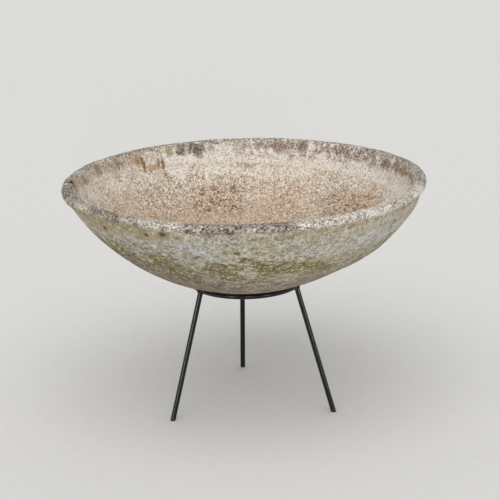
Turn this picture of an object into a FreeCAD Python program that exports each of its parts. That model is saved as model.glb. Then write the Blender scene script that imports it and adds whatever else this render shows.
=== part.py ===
import FreeCAD, Part
import math
import os
import Sketcher

# A shallow fibre-cement planter bowl that sits loose in a welded stand of round bar.
# Millimetres, +Z up, floor at Z = 0, the bowl's axis on Z, front towards -Y.

SIZES = {
    # bowl, measured from the flat of its base
    "rim_diameter": 900,
    "bowl_depth": 270,
    "base_diameter": 180,
    "wall_thickness": 10,
    "floor_thickness": 12,
    "drain_diameter": 30,
    # lip: a half-round bead outside, a thick band inside that thins out at a fold line
    "lip_round": 10,
    "lip_width": 24,
    "lip_inner_round": 6,
    "band_depth": 60,
    # stand: one size of round bar for the ring and the legs
    "bar_diameter": 13,
    "ring_diameter": 274,
    "ring_height": 322.5,
    "foot_circle_diameter": 468,
    "foot_edge_break": 0.8,
    # welds and the seat of the bowl
    "weld_proud": 2,
    "ring_weld_proud": 2,
    "seat_gap": 0.3,
}

FULL_TURN = 360
# the legs stand evenly round the axis, counted from the rear one; angles are about Z from +X
LEG_NAMES = ["rear", "front_left", "front_right"]
REAR_ANGLE = 90
# the bar of the ring was closed just left of the front
RING_WELD_ANGLE = 262

# the leg stops this share of the bar's radius below the ring's centre line
COPE_SHARE = 0.5
# bar left over for trimming, as a share of its diameter
TRIM_SHARE = 2.0
# the ring's weld is dressed flush on the bowl's side, this share of its height under the bar
FLUSH_SHARE = 0.1

doc = FreeCAD.newDocument("planter_on_stand")

sheet = doc.addObject("Spreadsheet::Sheet", "Sizes")
for row, (alias, number) in enumerate(SIZES.items(), start=1):
    sheet.set(f"A{row}", str(number))
    sheet.setAlias(f"A{row}", alias)
doc.recompute()

DERIVED = {
    "rim_radius": "Sizes.rim_diameter / 2",
    "base_radius": "Sizes.base_diameter / 2",
    "bar_radius": "Sizes.bar_diameter / 2",
    "ring_radius": "Sizes.ring_diameter / 2",
    "foot_radius": "Sizes.foot_circle_diameter / 2",
    # the half-round bead of the lip, whose lowest point is where the shell ends
    "bead_centre_radius": "Derived.rim_radius - Sizes.lip_round",
    "bead_centre_height": "Sizes.bowl_depth - Sizes.lip_round",
    "shell_top_height": "Sizes.bowl_depth - 2 * Sizes.lip_round",
    "fold_height": "Sizes.bowl_depth - Sizes.band_depth",
    "lip_inner_centre": "Derived.rim_radius - Sizes.lip_width + Sizes.lip_inner_round",
    # the shell is part of a ball through the edge of the base and the foot of the bead
    "shell_centre": "(Derived.bead_centre_radius ^ 2 + Derived.shell_top_height ^ 2"
    " - Derived.base_radius ^ 2) / (2 * Derived.shell_top_height)",
    "shell_radius": "sqrt(Derived.base_radius ^ 2 + Derived.shell_centre ^ 2)",
    "inner_radius": "Derived.shell_radius - Sizes.wall_thickness",
    # the bowl sinks into the ring until its shell meets the bar
    "seat_reach": "Derived.shell_radius + Derived.bar_radius + Sizes.seat_gap",
    "seat_rise": "sqrt(Derived.seat_reach ^ 2 - Derived.ring_radius ^ 2)",
    "bowl_height": "Sizes.ring_height + Derived.seat_rise - Derived.shell_centre",
    # how far the leg and its weld stop from the ring's centre line and the floor
    "cope_drop": f"Derived.bar_radius * {COPE_SHARE}",
    "trim": f"Sizes.bar_diameter * {TRIM_SHARE}",
    "weld_radius": "Derived.bar_radius + Sizes.weld_proud",
    "ring_weld_shift": f"Sizes.ring_weld_proud * (1 + {FLUSH_SHARE}) / 2",
    "ring_weld_radius": f"Derived.bar_radius + Sizes.ring_weld_proud * (1 - {FLUSH_SHARE}) / 2",
    "ring_weld_centre": "Derived.ring_radius + Derived.ring_weld_shift"
    " * Derived.ring_radius / Derived.seat_reach",
    "ring_weld_height": "Sizes.ring_height - Derived.ring_weld_shift"
    " * Derived.seat_rise / Derived.seat_reach",
}

derived = doc.addObject("App::VarSet", "Derived")
for name, formula in DERIVED.items():
    derived.addProperty("App::PropertyFloat", name)
    derived.setExpression(name, formula)
    doc.recompute()


def size(formula):
    """The number that a formula over the sizes gives now."""
    return float(sheet.evalExpression(formula))


def point(across, up):
    return FreeCAD.Vector(across, up, 0)


def new_body(label, angle=0):
    """A body turned about Z, so that its own +X points outwards along that angle."""
    body = doc.addObject("PartDesign::Body", label)
    body.Label = label
    body.Placement = FreeCAD.Placement(
        FreeCAD.Vector(0, 0, 0), FreeCAD.Rotation(FreeCAD.Vector(0, 0, 1), angle)
    )
    return body


def new_sketch(body, label, role):
    plane = next(item for item in body.Origin.OriginFeatures if item.Role == role)
    sketch = body.newObject("Sketcher::SketchObject", f"{body.Label}_{label}")
    sketch.AttachmentSupport = [(plane, "")]
    sketch.MapMode = "FlatFace"
    return sketch


def bind(sketch, name, formula, kind, *where):
    """A constraint whose size follows a formula."""
    index = sketch.addConstraint(Sketcher.Constraint(kind, *where, size(formula)))
    sketch.renameConstraint(index, name)
    sketch.setExpression(f"Constraints.{name}", formula)


def fix(sketch, kind, *where):
    sketch.addConstraint(Sketcher.Constraint(kind, *where))


def place(sketch, name, where, across=None, up=None):
    """Holds a point of the sketch at sizes measured from the origin."""
    if across:
        bind(sketch, f"{name}_across", across, "DistanceX", *ORIGIN, *where)
    if up:
        bind(sketch, f"{name}_up", up, "DistanceY", *ORIGIN, *where)


# names for the ends of a sketch line and for a sketch's own origin and upright axis
START, END, CENTRE = 1, 2, 3
ORIGIN = (-1, 1)
UPRIGHT = -2


def turn(body, kind, label, sketch, axis="V_Axis"):
    """Turns a sketch about an axis, to add to the body or to take away from it."""
    feature = body.newObject(kind, f"{body.Label}_{label}")
    feature.Profile = sketch
    feature.ReferenceAxis = (sketch, [axis])
    feature.Angle = FULL_TURN
    sketch.Visibility = False
    return feature


def pocket(body, label, sketch):
    """Cuts a sketch out of the body to both sides."""
    feature = body.newObject("PartDesign::Pocket", f"{body.Label}_{label}")
    feature.Profile = sketch
    feature.Type = "ThroughAll"
    feature.Midplane = True
    sketch.Visibility = False
    return feature


def bowl_section(body):
    """Half of the bowl cut through its axis: base, shell, lip, band, inside and floor."""
    sketch = new_sketch(body, "section", "XZ_Plane")
    rim_radius = size("Derived.rim_radius")
    base_radius = size("Derived.base_radius")
    depth = size("Sizes.bowl_depth")
    floor_height = size("Sizes.floor_thickness")
    shell_centre = point(0, size("Derived.shell_centre"))
    shell_radius = size("Derived.shell_radius")
    inner_radius = size("Derived.inner_radius")
    bead_radius = size("Derived.bead_centre_radius")
    bead_centre = point(bead_radius, size("Derived.bead_centre_height"))
    shell_top = size("Derived.shell_top_height")
    lip_round = size("Sizes.lip_round")
    inner_round = size("Sizes.lip_inner_round")
    inner_across = size("Derived.lip_inner_centre")
    fold_height = size("Derived.fold_height")
    fold_radius = math.sqrt(inner_radius**2 - (shell_centre.y - fold_height) ** 2)
    floor_radius = math.sqrt(inner_radius**2 - (shell_centre.y - floor_height) ** 2)

    def arc(centre, radius, start, end):
        """An arc that runs anticlockwise from one point to another."""
        angles = [math.atan2(p.y - centre.y, p.x - centre.x) for p in (start, end)]
        circle = Part.Circle(centre, FreeCAD.Vector(0, 0, 1), radius)
        return Part.ArcOfCircle(circle, *angles)

    origin = point(0, 0)
    base_edge = point(base_radius, 0)
    shell_end = point(bead_radius, shell_top)
    bead_end = point(bead_radius, depth)
    lip_start = point(inner_across, depth)
    lip_centre = point(inner_across, depth - inner_round)
    lip_end = point(inner_across - inner_round, depth - inner_round)
    fold = point(fold_radius, fold_height)
    floor_edge = point(floor_radius, floor_height)
    floor_middle = point(0, floor_height)

    base = sketch.addGeometry(Part.LineSegment(origin, base_edge))
    shell = sketch.addGeometry(arc(shell_centre, shell_radius, base_edge, shell_end))
    bead = sketch.addGeometry(arc(bead_centre, lip_round, shell_end, bead_end))
    top = sketch.addGeometry(Part.LineSegment(bead_end, lip_start))
    lip = sketch.addGeometry(arc(lip_centre, inner_round, lip_start, lip_end))
    band = sketch.addGeometry(Part.LineSegment(lip_end, fold))
    inside = sketch.addGeometry(arc(shell_centre, inner_radius, floor_edge, fold))
    floor = sketch.addGeometry(Part.LineSegment(floor_edge, floor_middle))
    axis = sketch.addGeometry(Part.LineSegment(floor_middle, origin))

    fix(sketch, "Coincident", base, START, *ORIGIN)
    fix(sketch, "Coincident", base, END, shell, START)
    fix(sketch, "Coincident", shell, END, bead, START)
    fix(sketch, "Tangent", bead, END, top, START)
    fix(sketch, "Tangent", top, END, lip, START)
    fix(sketch, "Tangent", lip, END, band, START)
    fix(sketch, "Coincident", band, END, inside, END)
    fix(sketch, "Coincident", inside, START, floor, START)
    fix(sketch, "Coincident", floor, END, axis, START)
    fix(sketch, "Coincident", axis, END, *ORIGIN)
    fix(sketch, "Coincident", inside, CENTRE, shell, CENTRE)
    fix(sketch, "PointOnObject", shell, CENTRE, UPRIGHT)
    for level in (base, top, floor):
        fix(sketch, "Horizontal", level)
    fix(sketch, "Vertical", axis)

    place(sketch, "base_edge", (base, END), across="Derived.base_radius")
    place(sketch, "bead_foot", (bead, START), "Derived.bead_centre_radius", "Derived.shell_top_height")
    place(sketch, "bead_top", (bead, END), "Derived.bead_centre_radius", "Sizes.bowl_depth")
    bind(sketch, "inner_round", "Sizes.lip_inner_round", "Radius", lip)
    place(sketch, "lip_centre", (lip, CENTRE), across="Derived.lip_inner_centre")
    bind(sketch, "inner_radius", "Derived.inner_radius", "Radius", inside)
    place(sketch, "fold", (band, END), up="Derived.fold_height")
    place(sketch, "floor", (floor, START), up="Sizes.floor_thickness")
    return sketch


def bar_section(body, label, up, *, across="Derived.ring_radius", radius="Derived.bar_radius"):
    """A full circle, ready to be turned about Z into a ring."""
    sketch = new_sketch(body, label, "XZ_Plane")
    centre = point(size(across), size(up))
    circle = sketch.addGeometry(Part.Circle(centre, FreeCAD.Vector(0, 0, 1), size(radius)))
    bind(sketch, "radius", radius, "Radius", circle)
    place(sketch, "centre", (circle, CENTRE), across, up)
    return sketch


def leg_line(sketch):
    """The leg's centre line, from its foot on the floor to the centre of the ring's bar."""
    foot = point(size("Derived.foot_radius"), 0)
    head = point(size("Derived.ring_radius"), size("Sizes.ring_height"))
    line = sketch.addGeometry(Part.LineSegment(foot, head), True)
    fix(sketch, "PointOnObject", line, START, -1)
    place(sketch, "foot", (line, START), across="Derived.foot_radius")
    place(sketch, "head", (line, END), "Derived.ring_radius", "Sizes.ring_height")
    return line, foot, head


def leg_section(body, label, past_foot, below_head):
    """Half of a straight bar along the leg's line, ready to be turned about that line."""
    sketch = new_sketch(body, label, "XZ_Plane")
    line, foot, head = leg_line(sketch)
    along = (head - foot).normalize()
    outward = point(along.y, -along.x) * size("Derived.bar_radius")
    low = foot - along * size(past_foot)
    high = head - along * size(below_head)
    corners = [low, low + outward, high + outward, high]
    sides = [
        sketch.addGeometry(Part.LineSegment(corner, corners[(number + 1) % len(corners)]))
        for number, corner in enumerate(corners)
    ]
    lower_end, flank, upper_end, middle = sides
    for number, side in enumerate(sides):
        fix(sketch, "Coincident", side, END, sides[(number + 1) % len(sides)], START)
    fix(sketch, "PointOnObject", middle, START, line)
    fix(sketch, "PointOnObject", middle, END, line)
    fix(sketch, "Perpendicular", lower_end, line)
    fix(sketch, "Perpendicular", upper_end, line)
    bind(sketch, "bar_radius", "Derived.bar_radius", "Distance", lower_end)
    fix(sketch, "Parallel", flank, line)
    bind(sketch, "past_foot", past_foot, "Distance", middle, END, line, START)
    bind(sketch, "below_head", below_head, "Distance", middle, START, line, END)
    return sketch


def half_ball(sketch, line, centre, along, radius):
    """Half a disc on a line of the sketch, ready to be turned about that line into a ball."""
    reach = size(radius)
    outward = point(along.y, -along.x)
    low = centre - along * reach
    high = centre + along * reach
    arc = sketch.addGeometry(Part.Arc(low, centre + outward * reach, high))
    chord = sketch.addGeometry(Part.LineSegment(high, low))
    fix(sketch, "Coincident", arc, END, chord, START)
    fix(sketch, "Coincident", arc, START, chord, END)
    fix(sketch, "PointOnObject", chord, START, line)
    fix(sketch, "PointOnObject", chord, END, line)
    bind(sketch, "ball_radius", radius, "Radius", arc)
    return arc


def build_bowl():
    """The shell with its lip, pierced for drainage, standing at the height where the ring holds it."""
    body = new_body("bowl")
    turn(body, "PartDesign::Revolution", "shell", bowl_section(body))
    hole = new_sketch(body, "drain_outline", "XY_Plane")
    radius = size("Sizes.drain_diameter") / 2
    circle = hole.addGeometry(Part.Circle(point(0, 0), FreeCAD.Vector(0, 0, 1), radius))
    fix(hole, "Coincident", circle, CENTRE, *ORIGIN)
    bind(hole, "drain", "Sizes.drain_diameter", "Diameter", circle)
    pocket(body, "drain", hole)
    body.setExpression("Placement.Base.z", "Derived.bowl_height")
    return body


def build_ring():
    body = new_body("stand_ring")
    turn(body, "PartDesign::Revolution", "bar", bar_section(body, "bar_section", "Sizes.ring_height"))
    return body


def build_leg(name, angle):
    """A straight bar, sawn level with the floor and hollowed at its head to fit under the ring."""
    body = new_body(f"leg_{name}", angle)
    section = leg_section(body, "half_bar", "Derived.trim", "Derived.cope_drop")
    turn(body, "PartDesign::Revolution", "bar", section, "Axis0")

    ring = bar_section(body, "ring_section", "Sizes.ring_height")
    turn(body, "PartDesign::Groove", "cope", ring)

    below = new_sketch(body, "below_floor", "XZ_Plane")
    near = size("Derived.foot_radius") - size("Derived.trim")
    far = size("Derived.foot_radius") + size("Derived.trim")
    deep = -2 * size("Derived.trim")
    corners = [point(near, 0), point(near, deep), point(far, deep), point(far, 0)]
    sides = [
        below.addGeometry(Part.LineSegment(corner, corners[(number + 1) % len(corners)]))
        for number, corner in enumerate(corners)
    ]
    for number, side in enumerate(sides):
        fix(below, "Coincident", side, END, sides[(number + 1) % len(sides)], START)
        fix(below, "Horizontal" if number % 2 else "Vertical", side)
    left, bottom, right, top = sides
    fix(below, "PointOnObject", top, START, -1)
    place(below, "near", (left, START), across="Derived.foot_radius - Derived.trim")
    bind(below, "breadth", "2 * Derived.trim", "Distance", bottom)
    bind(below, "depth", "2 * Derived.trim", "Distance", left)
    pocket(body, "floor_cut", below)

    doc.recompute()
    sawn = body.Tip
    tolerance = size("Sizes.foot_edge_break")
    edges = [
        f"Edge{number}"
        for number, edge in enumerate(sawn.Shape.Edges, start=1)
        if edge.BoundBox.ZMax < tolerance / 2
    ]
    chamfer = body.newObject("PartDesign::Chamfer", f"{body.Label}_foot_edge")
    chamfer.Base = (sawn, edges)
    chamfer.setExpression("Size", "Sizes.foot_edge_break")
    return body


def build_leg_weld(name, angle):
    """A rounded collar of weld in the corner between the leg and the underside of the ring."""
    body = new_body(f"weld_{name}", angle)
    sketch = new_sketch(body, "bead", "XZ_Plane")
    line, foot, head = leg_line(sketch)
    along = (head - foot).normalize()
    centre = head - along * size("Derived.bar_radius")
    arc = half_ball(sketch, line, centre, along, "Derived.weld_radius")
    fix(sketch, "PointOnObject", arc, CENTRE, line)
    bind(sketch, "below_head", "Derived.bar_radius", "Distance", arc, CENTRE, line, END)
    turn(body, "PartDesign::Revolution", "blob", sketch, "Axis0")
    ring = bar_section(body, "ring_section", "Sizes.ring_height")
    turn(body, "PartDesign::Groove", "ring_fit", ring)
    leg = leg_section(body, "half_bar", "Derived.trim", "Derived.cope_drop")
    turn(body, "PartDesign::Groove", "leg_fit", leg, "Axis0")
    return body


def build_ring_weld(angle):
    """The butt weld of the ring, proud on the outside and dressed flush under the bowl."""
    body = new_body("ring_weld", angle)
    sketch = new_sketch(body, "bead", "XZ_Plane")
    centre = point(size("Derived.ring_weld_centre"), size("Derived.ring_weld_height"))
    up = point(0, 1)
    upper = centre + up * size("Derived.ring_weld_radius")
    line = sketch.addGeometry(Part.LineSegment(centre, upper), True)
    fix(sketch, "Vertical", line)
    place(sketch, "centre", (line, START), "Derived.ring_weld_centre", "Derived.ring_weld_height")
    bind(sketch, "line_length", "Derived.ring_weld_radius", "Distance", line)
    arc = half_ball(sketch, line, centre, up, "Derived.ring_weld_radius")
    fix(sketch, "Coincident", arc, CENTRE, line, START)
    turn(body, "PartDesign::Revolution", "blob", sketch, "Axis0")
    ring = bar_section(body, "ring_section", "Sizes.ring_height")
    turn(body, "PartDesign::Groove", "ring_fit", ring)
    return body


parts = [build_bowl(), build_ring(), build_ring_weld(RING_WELD_ANGLE)]
for number, leg_name in enumerate(LEG_NAMES):
    leg_angle = REAR_ANGLE + number * FULL_TURN / len(LEG_NAMES)
    parts.append(build_leg(leg_name, leg_angle))
    parts.append(build_leg_weld(leg_name, leg_angle))

doc.recompute()

for item in doc.Objects:
    if "Invalid" in item.State or "Error" in item.State:
        raise RuntimeError(f"{item.Label} did not compute: {item.State}")
for body in parts:
    if body.Shape.isNull() or not body.Shape.isValid():
        raise RuntimeError(f"{body.Label} has no valid shape")

os.makedirs("parts", exist_ok=True)
for body in parts:
    body.Shape.exportStep(f"parts/{body.Label}.step")
    box = body.Shape.BoundBox
    print(
        body.Label,
        "solids", len(body.Shape.Solids),
        "volume", round(body.Shape.Volume),
        "Z", round(box.ZMin, 2), round(box.ZMax, 2),
    )
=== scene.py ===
# %% [markdown]
# # A weathered planter bowl on a bar stand
#
# The object is a shallow bowl of fibre cement that has stood outdoors for many years, lying loose
# in a stand welded from black round bar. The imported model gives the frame: every piece here is made
# in metres in that frame, and rides on one of its two bodies, the stand or the bowl.

# %% Load the frame
import math

import bpy
from mathutils import Color, Matrix, Vector


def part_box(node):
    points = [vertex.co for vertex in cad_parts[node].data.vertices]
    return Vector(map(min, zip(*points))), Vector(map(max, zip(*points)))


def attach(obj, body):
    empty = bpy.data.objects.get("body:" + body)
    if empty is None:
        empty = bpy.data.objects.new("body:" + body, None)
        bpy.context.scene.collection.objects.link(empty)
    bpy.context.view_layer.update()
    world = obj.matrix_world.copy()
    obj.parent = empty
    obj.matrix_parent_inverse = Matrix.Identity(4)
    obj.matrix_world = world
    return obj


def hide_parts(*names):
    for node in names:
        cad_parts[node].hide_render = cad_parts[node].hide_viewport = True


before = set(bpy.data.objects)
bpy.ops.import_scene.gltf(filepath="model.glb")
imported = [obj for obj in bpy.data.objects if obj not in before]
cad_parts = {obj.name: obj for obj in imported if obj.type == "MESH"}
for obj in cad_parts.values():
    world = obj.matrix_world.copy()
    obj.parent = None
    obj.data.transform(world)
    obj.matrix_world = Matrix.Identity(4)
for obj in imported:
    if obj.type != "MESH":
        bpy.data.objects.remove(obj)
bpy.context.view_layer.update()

# %% [markdown]
# ## Angles round the axis
#
# The bowl and the ring are round, so places on them are easiest to give as an angle, a distance
# from the axis and a height. Angles are degrees from the front, growing towards the right.


# %% Angles
def round_axis(angle, radius, up):
    """A point at an angle from the front towards the right, a radius from the axis and a height."""
    turn = math.radians(angle)
    return Vector((radius * math.sin(turn), -radius * math.cos(turn), up))


print("a metre to the right is", tuple(round(v, 3) for v in round_axis(90.0, 1.0, 0.0)))

# %% [markdown]
# ## Nodes written as sums
#
# Both the shapes and the finishes below are node trees. Adding nodes one by one hides the idea
# behind them, so two small classes do the wiring: a Wire is one output socket, and arithmetic on
# wires adds Math nodes. A Board is one tree, with one method that adds any other node.


# %% Wires
class Wire:
    """An output socket of a node tree. Arithmetic on it adds Math nodes."""

    def __init__(self, board, socket):
        self.board = board
        self.socket = socket

    def __add__(self, other):
        return self.board.math("ADD", self, other)

    def __sub__(self, other):
        return self.board.math("SUBTRACT", self, other)

    def __mul__(self, other):
        return self.board.math("MULTIPLY", self, other)

    def __truediv__(self, other):
        return self.board.math("DIVIDE", self, other)

    def __radd__(self, other):
        return self.board.math("ADD", other, self)

    def __rsub__(self, other):
        return self.board.math("SUBTRACT", other, self)

    def __rmul__(self, other):
        return self.board.math("MULTIPLY", other, self)

    def __rtruediv__(self, other):
        return self.board.math("DIVIDE", other, self)

    def __neg__(self):
        return self.board.math("MULTIPLY", self, -1.0)


print("wires add, subtract, multiply and divide")


# %% Boards
class Board:
    """A node tree that is filled from Python."""

    def __init__(self, tree):
        self.tree = tree

    def node(self, kind, settings=None, sockets=None, out=0):
        """Adds a node: its settings first, then the values or wires of its sockets."""
        node = self.tree.nodes.new(kind)
        for name, value in (settings or {}).items():
            setattr(node, name, value)
        for key, value in (sockets or {}).items():
            self.feed(node.inputs[key], value)
        return Wire(self, node.outputs[out]) if node.outputs else None

    def feed(self, socket, value):
        """Leads a wire to an input socket, or sets its value."""
        if isinstance(value, Wire):
            self.tree.links.new(value.socket, socket)
        else:
            socket.default_value = value

    def outputs(self, wire):
        """All named outputs of the node that a wire leaves."""
        named = [socket for socket in wire.socket.node.outputs if socket.name]
        return {socket.name: Wire(self, socket) for socket in named}

    def math(self, operation, *values):
        return self.node("ShaderNodeMath", {"operation": operation}, dict(enumerate(values)))

    def vector(self, operation, *values, out=0):
        settings = {"operation": operation}
        return self.node("ShaderNodeVectorMath", settings, dict(enumerate(values)), out)

    def parts(self, vector):
        """The X, Y and Z of a vector."""
        return list(self.outputs(self.node("ShaderNodeSeparateXYZ", sockets={0: vector})).values())


print("boards take nodes by kind, settings and sockets")

# %% [markdown]
# ### Steps and noises
#
# Nearly every mask below is a soft step of a noise or of a distance, so these have methods of their
# own. A colour ramp could make the step too, but its stops are harder to read than two numbers.

# %% Steps and noises
NOISE_MIDDLE = 0.5


class Field(Board):
    """A board for values that change from place to place."""

    def away(self, place, point):
        """How far a place is from a point."""
        return self.vector("DISTANCE", place, point, out="Value")

    def likeness(self, facing, angle):
        """1 where a level direction points to an angle round the axis, -1 where it points away."""
        return self.vector("DOT_PRODUCT", facing, round_axis(angle, 1.0, 0.0), out="Value")

    def between(self, value, low, high):
        """0 below low and 1 above high, with a soft step between; low may be the larger."""
        return self.node(
            "ShaderNodeMapRange",
            {"interpolation_type": "SMOOTHSTEP"},
            {"Value": value, "From Min": low, "From Max": high},
        )

    def noise(self, where, scale, detail=2.0, roughness=0.5, distortion=0.0):
        """Cloudy noise from about 0.2 to 0.8; scale is blots per metre."""
        sockets = {
            "Vector": where,
            "Scale": scale,
            "Detail": detail,
            "Roughness": roughness,
            "Distortion": distortion,
        }
        return self.node("ShaderNodeTexNoise", {}, sockets)

    def stray(self, noise, reach):
        """A noise about its middle, so that it takes away as much as it adds, times a reach."""
        return (noise - NOISE_MIDDLE) * reach


print("fields take soft steps and noises")

# %% [markdown]
# ## The section of the bowl
#
# The real bowl was pressed over a form, so one section turned round the axis gives its shape: a
# flat base, a shell that is part of a ball, a half-round bead under the rim, and inside a thick
# band that thins out at a fold. The same sizes drive the solid model. A spline through points would
# be quicker to draw, but straight runs and arcs keep the base flat and the bead round.

# %% Section sizes
bowl_low, bowl_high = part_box("bowl")
BASE_HEIGHT = bowl_low.z
RIM_HEIGHT = bowl_high.z
RIM_RADIUS = 0.450
BASE_RADIUS = 0.090
DRAIN_RADIUS = 0.015
WALL = 0.010
FLOOR = 0.012
LIP_ROUND = 0.010
LIP_WIDTH = 0.024
LIP_INNER_ROUND = 0.006
BAND_DEPTH = 0.060
CREASE_ROUND = 0.010

bead_across = RIM_RADIUS - LIP_ROUND
bead_up = RIM_HEIGHT - LIP_ROUND
shell_rise = bead_up - LIP_ROUND - BASE_HEIGHT
shell_centre = BASE_HEIGHT + (bead_across**2 + shell_rise**2 - BASE_RADIUS**2) / (2 * shell_rise)
shell_radius = math.hypot(BASE_RADIUS, shell_centre - BASE_HEIGHT)
inner_radius = shell_radius - WALL
floor_up = BASE_HEIGHT + FLOOR
fold_up = RIM_HEIGHT - BAND_DEPTH
lip_across = RIM_RADIUS - LIP_WIDTH + LIP_INNER_ROUND
print("shell radius", round(shell_radius, 4), "about a point at height", round(shell_centre, 4))

# %% [markdown]
# ### Runs and arcs
#
# A turner would cut a template for this section with rule and compasses. A Bezier curve with
# handles comes near to an arc, but never is one, so the points of each run and arc are worked out
# here.


# %% Runs and arcs
def on_ball(radius, up):
    """How far from the axis a ball about the shell's centre lies at a height."""
    return math.sqrt(radius**2 - (shell_centre - up) ** 2)


def run(start, end, steps):
    """Points of a straight run, without its end."""
    return [tuple(a + (b - a) * i / steps for a, b in zip(start, end)) for i in range(steps)]


def arc(centre, start, end, steps):
    """Points of the shorter arc about a centre, without its end."""
    first, last = (math.atan2(p[1] - centre[1], p[0] - centre[0]) for p in (start, end))
    sweep = (last - first + math.pi) % (2 * math.pi) - math.pi
    radius = math.dist(centre, start)
    angles = [first + sweep * i / steps for i in range(steps)]
    return [(centre[0] + radius * math.cos(a), centre[1] + radius * math.sin(a)) for a in angles]


def crossing(first, first_radius, second, second_radius):
    """The lower of the two points that lie at given distances from two centres."""
    gap = math.dist(first, second)
    reach = (gap**2 + first_radius**2 - second_radius**2) / (2 * gap)
    height = math.sqrt(first_radius**2 - reach**2)
    ahead = [(b - a) / gap for a, b in zip(first, second)]
    points = [
        (first[0] + ahead[0] * reach - ahead[1] * h, first[1] + ahead[1] * reach + ahead[0] * h)
        for h in (height, -height)
    ]
    return min(points, key=lambda point: point[1])


def toward(centre, point, distance):
    """A point at a distance from a centre, in the direction of another point."""
    share = distance / math.dist(centre, point)
    return tuple(a + (b - a) * share for a, b in zip(centre, point))


print("at the fold the inner ball is", round(on_ball(inner_radius, fold_up), 4), "from the axis")

# %% [markdown]
# ### Corners and stretches
#
# The corners follow from the sizes. The crease under the bead is an arc that touches both the bead
# and the shell, so its centre is where two circles cross. Each stretch between two corners is cut
# into as many steps as its bend, and the relief that comes later, need.

# %% Section corners
middle = (0.0, shell_centre)
drain_top = (DRAIN_RADIUS, floor_up)
drain_foot = (DRAIN_RADIUS, BASE_HEIGHT)
floor_edge = (on_ball(inner_radius, floor_up), floor_up)
fold = (on_ball(inner_radius, fold_up), fold_up)
lip_centre = (lip_across, RIM_HEIGHT - LIP_INNER_ROUND)
lean = math.atan2(lip_centre[0] - LIP_INNER_ROUND - fold[0], lip_centre[1] - fold[1])
band_top = (
    lip_centre[0] - LIP_INNER_ROUND * math.cos(lean),
    lip_centre[1] + LIP_INNER_ROUND * math.sin(lean),
)
lip_top = (lip_across, RIM_HEIGHT)
bead_centre = (bead_across, bead_up)
bead_top = (bead_across, RIM_HEIGHT)
bead_side = (RIM_RADIUS, bead_up)
crease_centre = crossing(middle, shell_radius + CREASE_ROUND, bead_centre, LIP_ROUND + CREASE_ROUND)
bead_foot = toward(bead_centre, crease_centre, LIP_ROUND)
shell_top = toward(middle, crease_centre, shell_radius)
base_edge = (BASE_RADIUS, BASE_HEIGHT)
print("the crease starts", round(RIM_HEIGHT - bead_foot[1], 4), "below the rim")

# %% Section stretches
FLOOR_STEPS, WALL_STEPS, BAND_STEPS, LIP_STEPS, TOP_STEPS = 12, 56, 10, 4, 2
BEAD_STEPS, FOOT_STEPS, CREASE_STEPS, SHELL_STEPS, BASE_STEPS, DRAIN_STEPS = 5, 3, 4, 64, 11, 3

inside_run = (
    run(drain_top, floor_edge, FLOOR_STEPS)
    + arc(middle, floor_edge, fold, WALL_STEPS)
    + run(fold, band_top, BAND_STEPS)
    + arc(lip_centre, band_top, lip_top, LIP_STEPS)
    + run(lip_top, bead_top, TOP_STEPS)
)
outside_run = (
    arc(bead_centre, bead_top, bead_side, BEAD_STEPS)
    + arc(bead_centre, bead_side, bead_foot, FOOT_STEPS)
    + arc(crease_centre, bead_foot, shell_top, CREASE_STEPS)
    + arc(middle, shell_top, base_edge, SHELL_STEPS)
    + run(base_edge, drain_foot, BASE_STEPS)
    + run(drain_foot, drain_top, DRAIN_STEPS)
)
section = inside_run + outside_run + [drain_top]
lengths = [0.0]
for a, b in zip(section, section[1:]):
    lengths.append(lengths[-1] + math.dist(a, b))
rim_length = lengths[len(inside_run) - 1]
# how far each point lies from the top of the lip: below 0 inside the bowl, above 0 outside
along_rim = [length - rim_length for length in lengths]
print("section points", len(section))

# %% [markdown]
# ## Shapes from trees
#
# Each piece is grown by a Geometry Nodes tree on a guide, a chain of points with a few numbers on
# them. The tree's sizes are named inputs on the modifier. The evaluated result is kept as a plain
# mesh and the modifier goes.


# %% Tree helpers
def new_shape_tree(name, inputs):
    """An empty Geometry Nodes tree: its board, its input wires and the keys that set them."""
    tree = bpy.data.node_groups.new(name, "GeometryNodeTree")
    tree.interface.new_socket("Geometry", in_out="INPUT", socket_type="NodeSocketGeometry")
    tree.interface.new_socket("Geometry", in_out="OUTPUT", socket_type="NodeSocketGeometry")
    keys = {}
    for label, kind in inputs.items():
        item = tree.interface.new_socket(label, in_out="INPUT", socket_type=f"NodeSocket{kind}")
        keys[label] = item.identifier
    board = Field(tree)
    return board, board.outputs(board.node("NodeGroupInput")), keys


def end_shape_tree(board, geometry, material):
    """Real faces with a material on them, as the tree's result."""
    real = board.node("GeometryNodeRealizeInstances", {}, {"Geometry": geometry})
    smooth = board.node("GeometryNodeSetShadeSmooth", {}, {"Geometry": real})
    dressed = board.node("GeometryNodeSetMaterial", {}, {"Geometry": smooth, "Material": material})
    board.node("NodeGroupOutput", {}, {"Geometry": dressed})


def stored(board, label):
    """The number that a guide's point carries under a label."""
    return board.node("GeometryNodeInputNamedAttribute", {"data_type": "FLOAT"}, {"Name": label})


print("tree helpers ready")

# %% [markdown]
# ### Guides
#
# A guide has only points and edges, like a line drawn for a maker to follow. A curve object could
# serve as well, but a mesh takes any number of named values on its points, and the trees read
# those.


# %% Guides and growing
def guide_mesh(name, points, closed=False, **attributes):
    """A chain of points and edges for a tree to follow, with numbers on its points."""
    mesh = bpy.data.meshes.new(name)
    edges = [(i, i + 1) for i in range(len(points) - 1)]
    if closed:
        edges.append((len(points) - 1, 0))
    mesh.from_pydata([tuple(p) for p in points], edges, [])
    for label, numbers in attributes.items():
        layer = mesh.attributes.new(label, "FLOAT", "POINT")
        layer.data.foreach_set("value", numbers)
    return mesh


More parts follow.
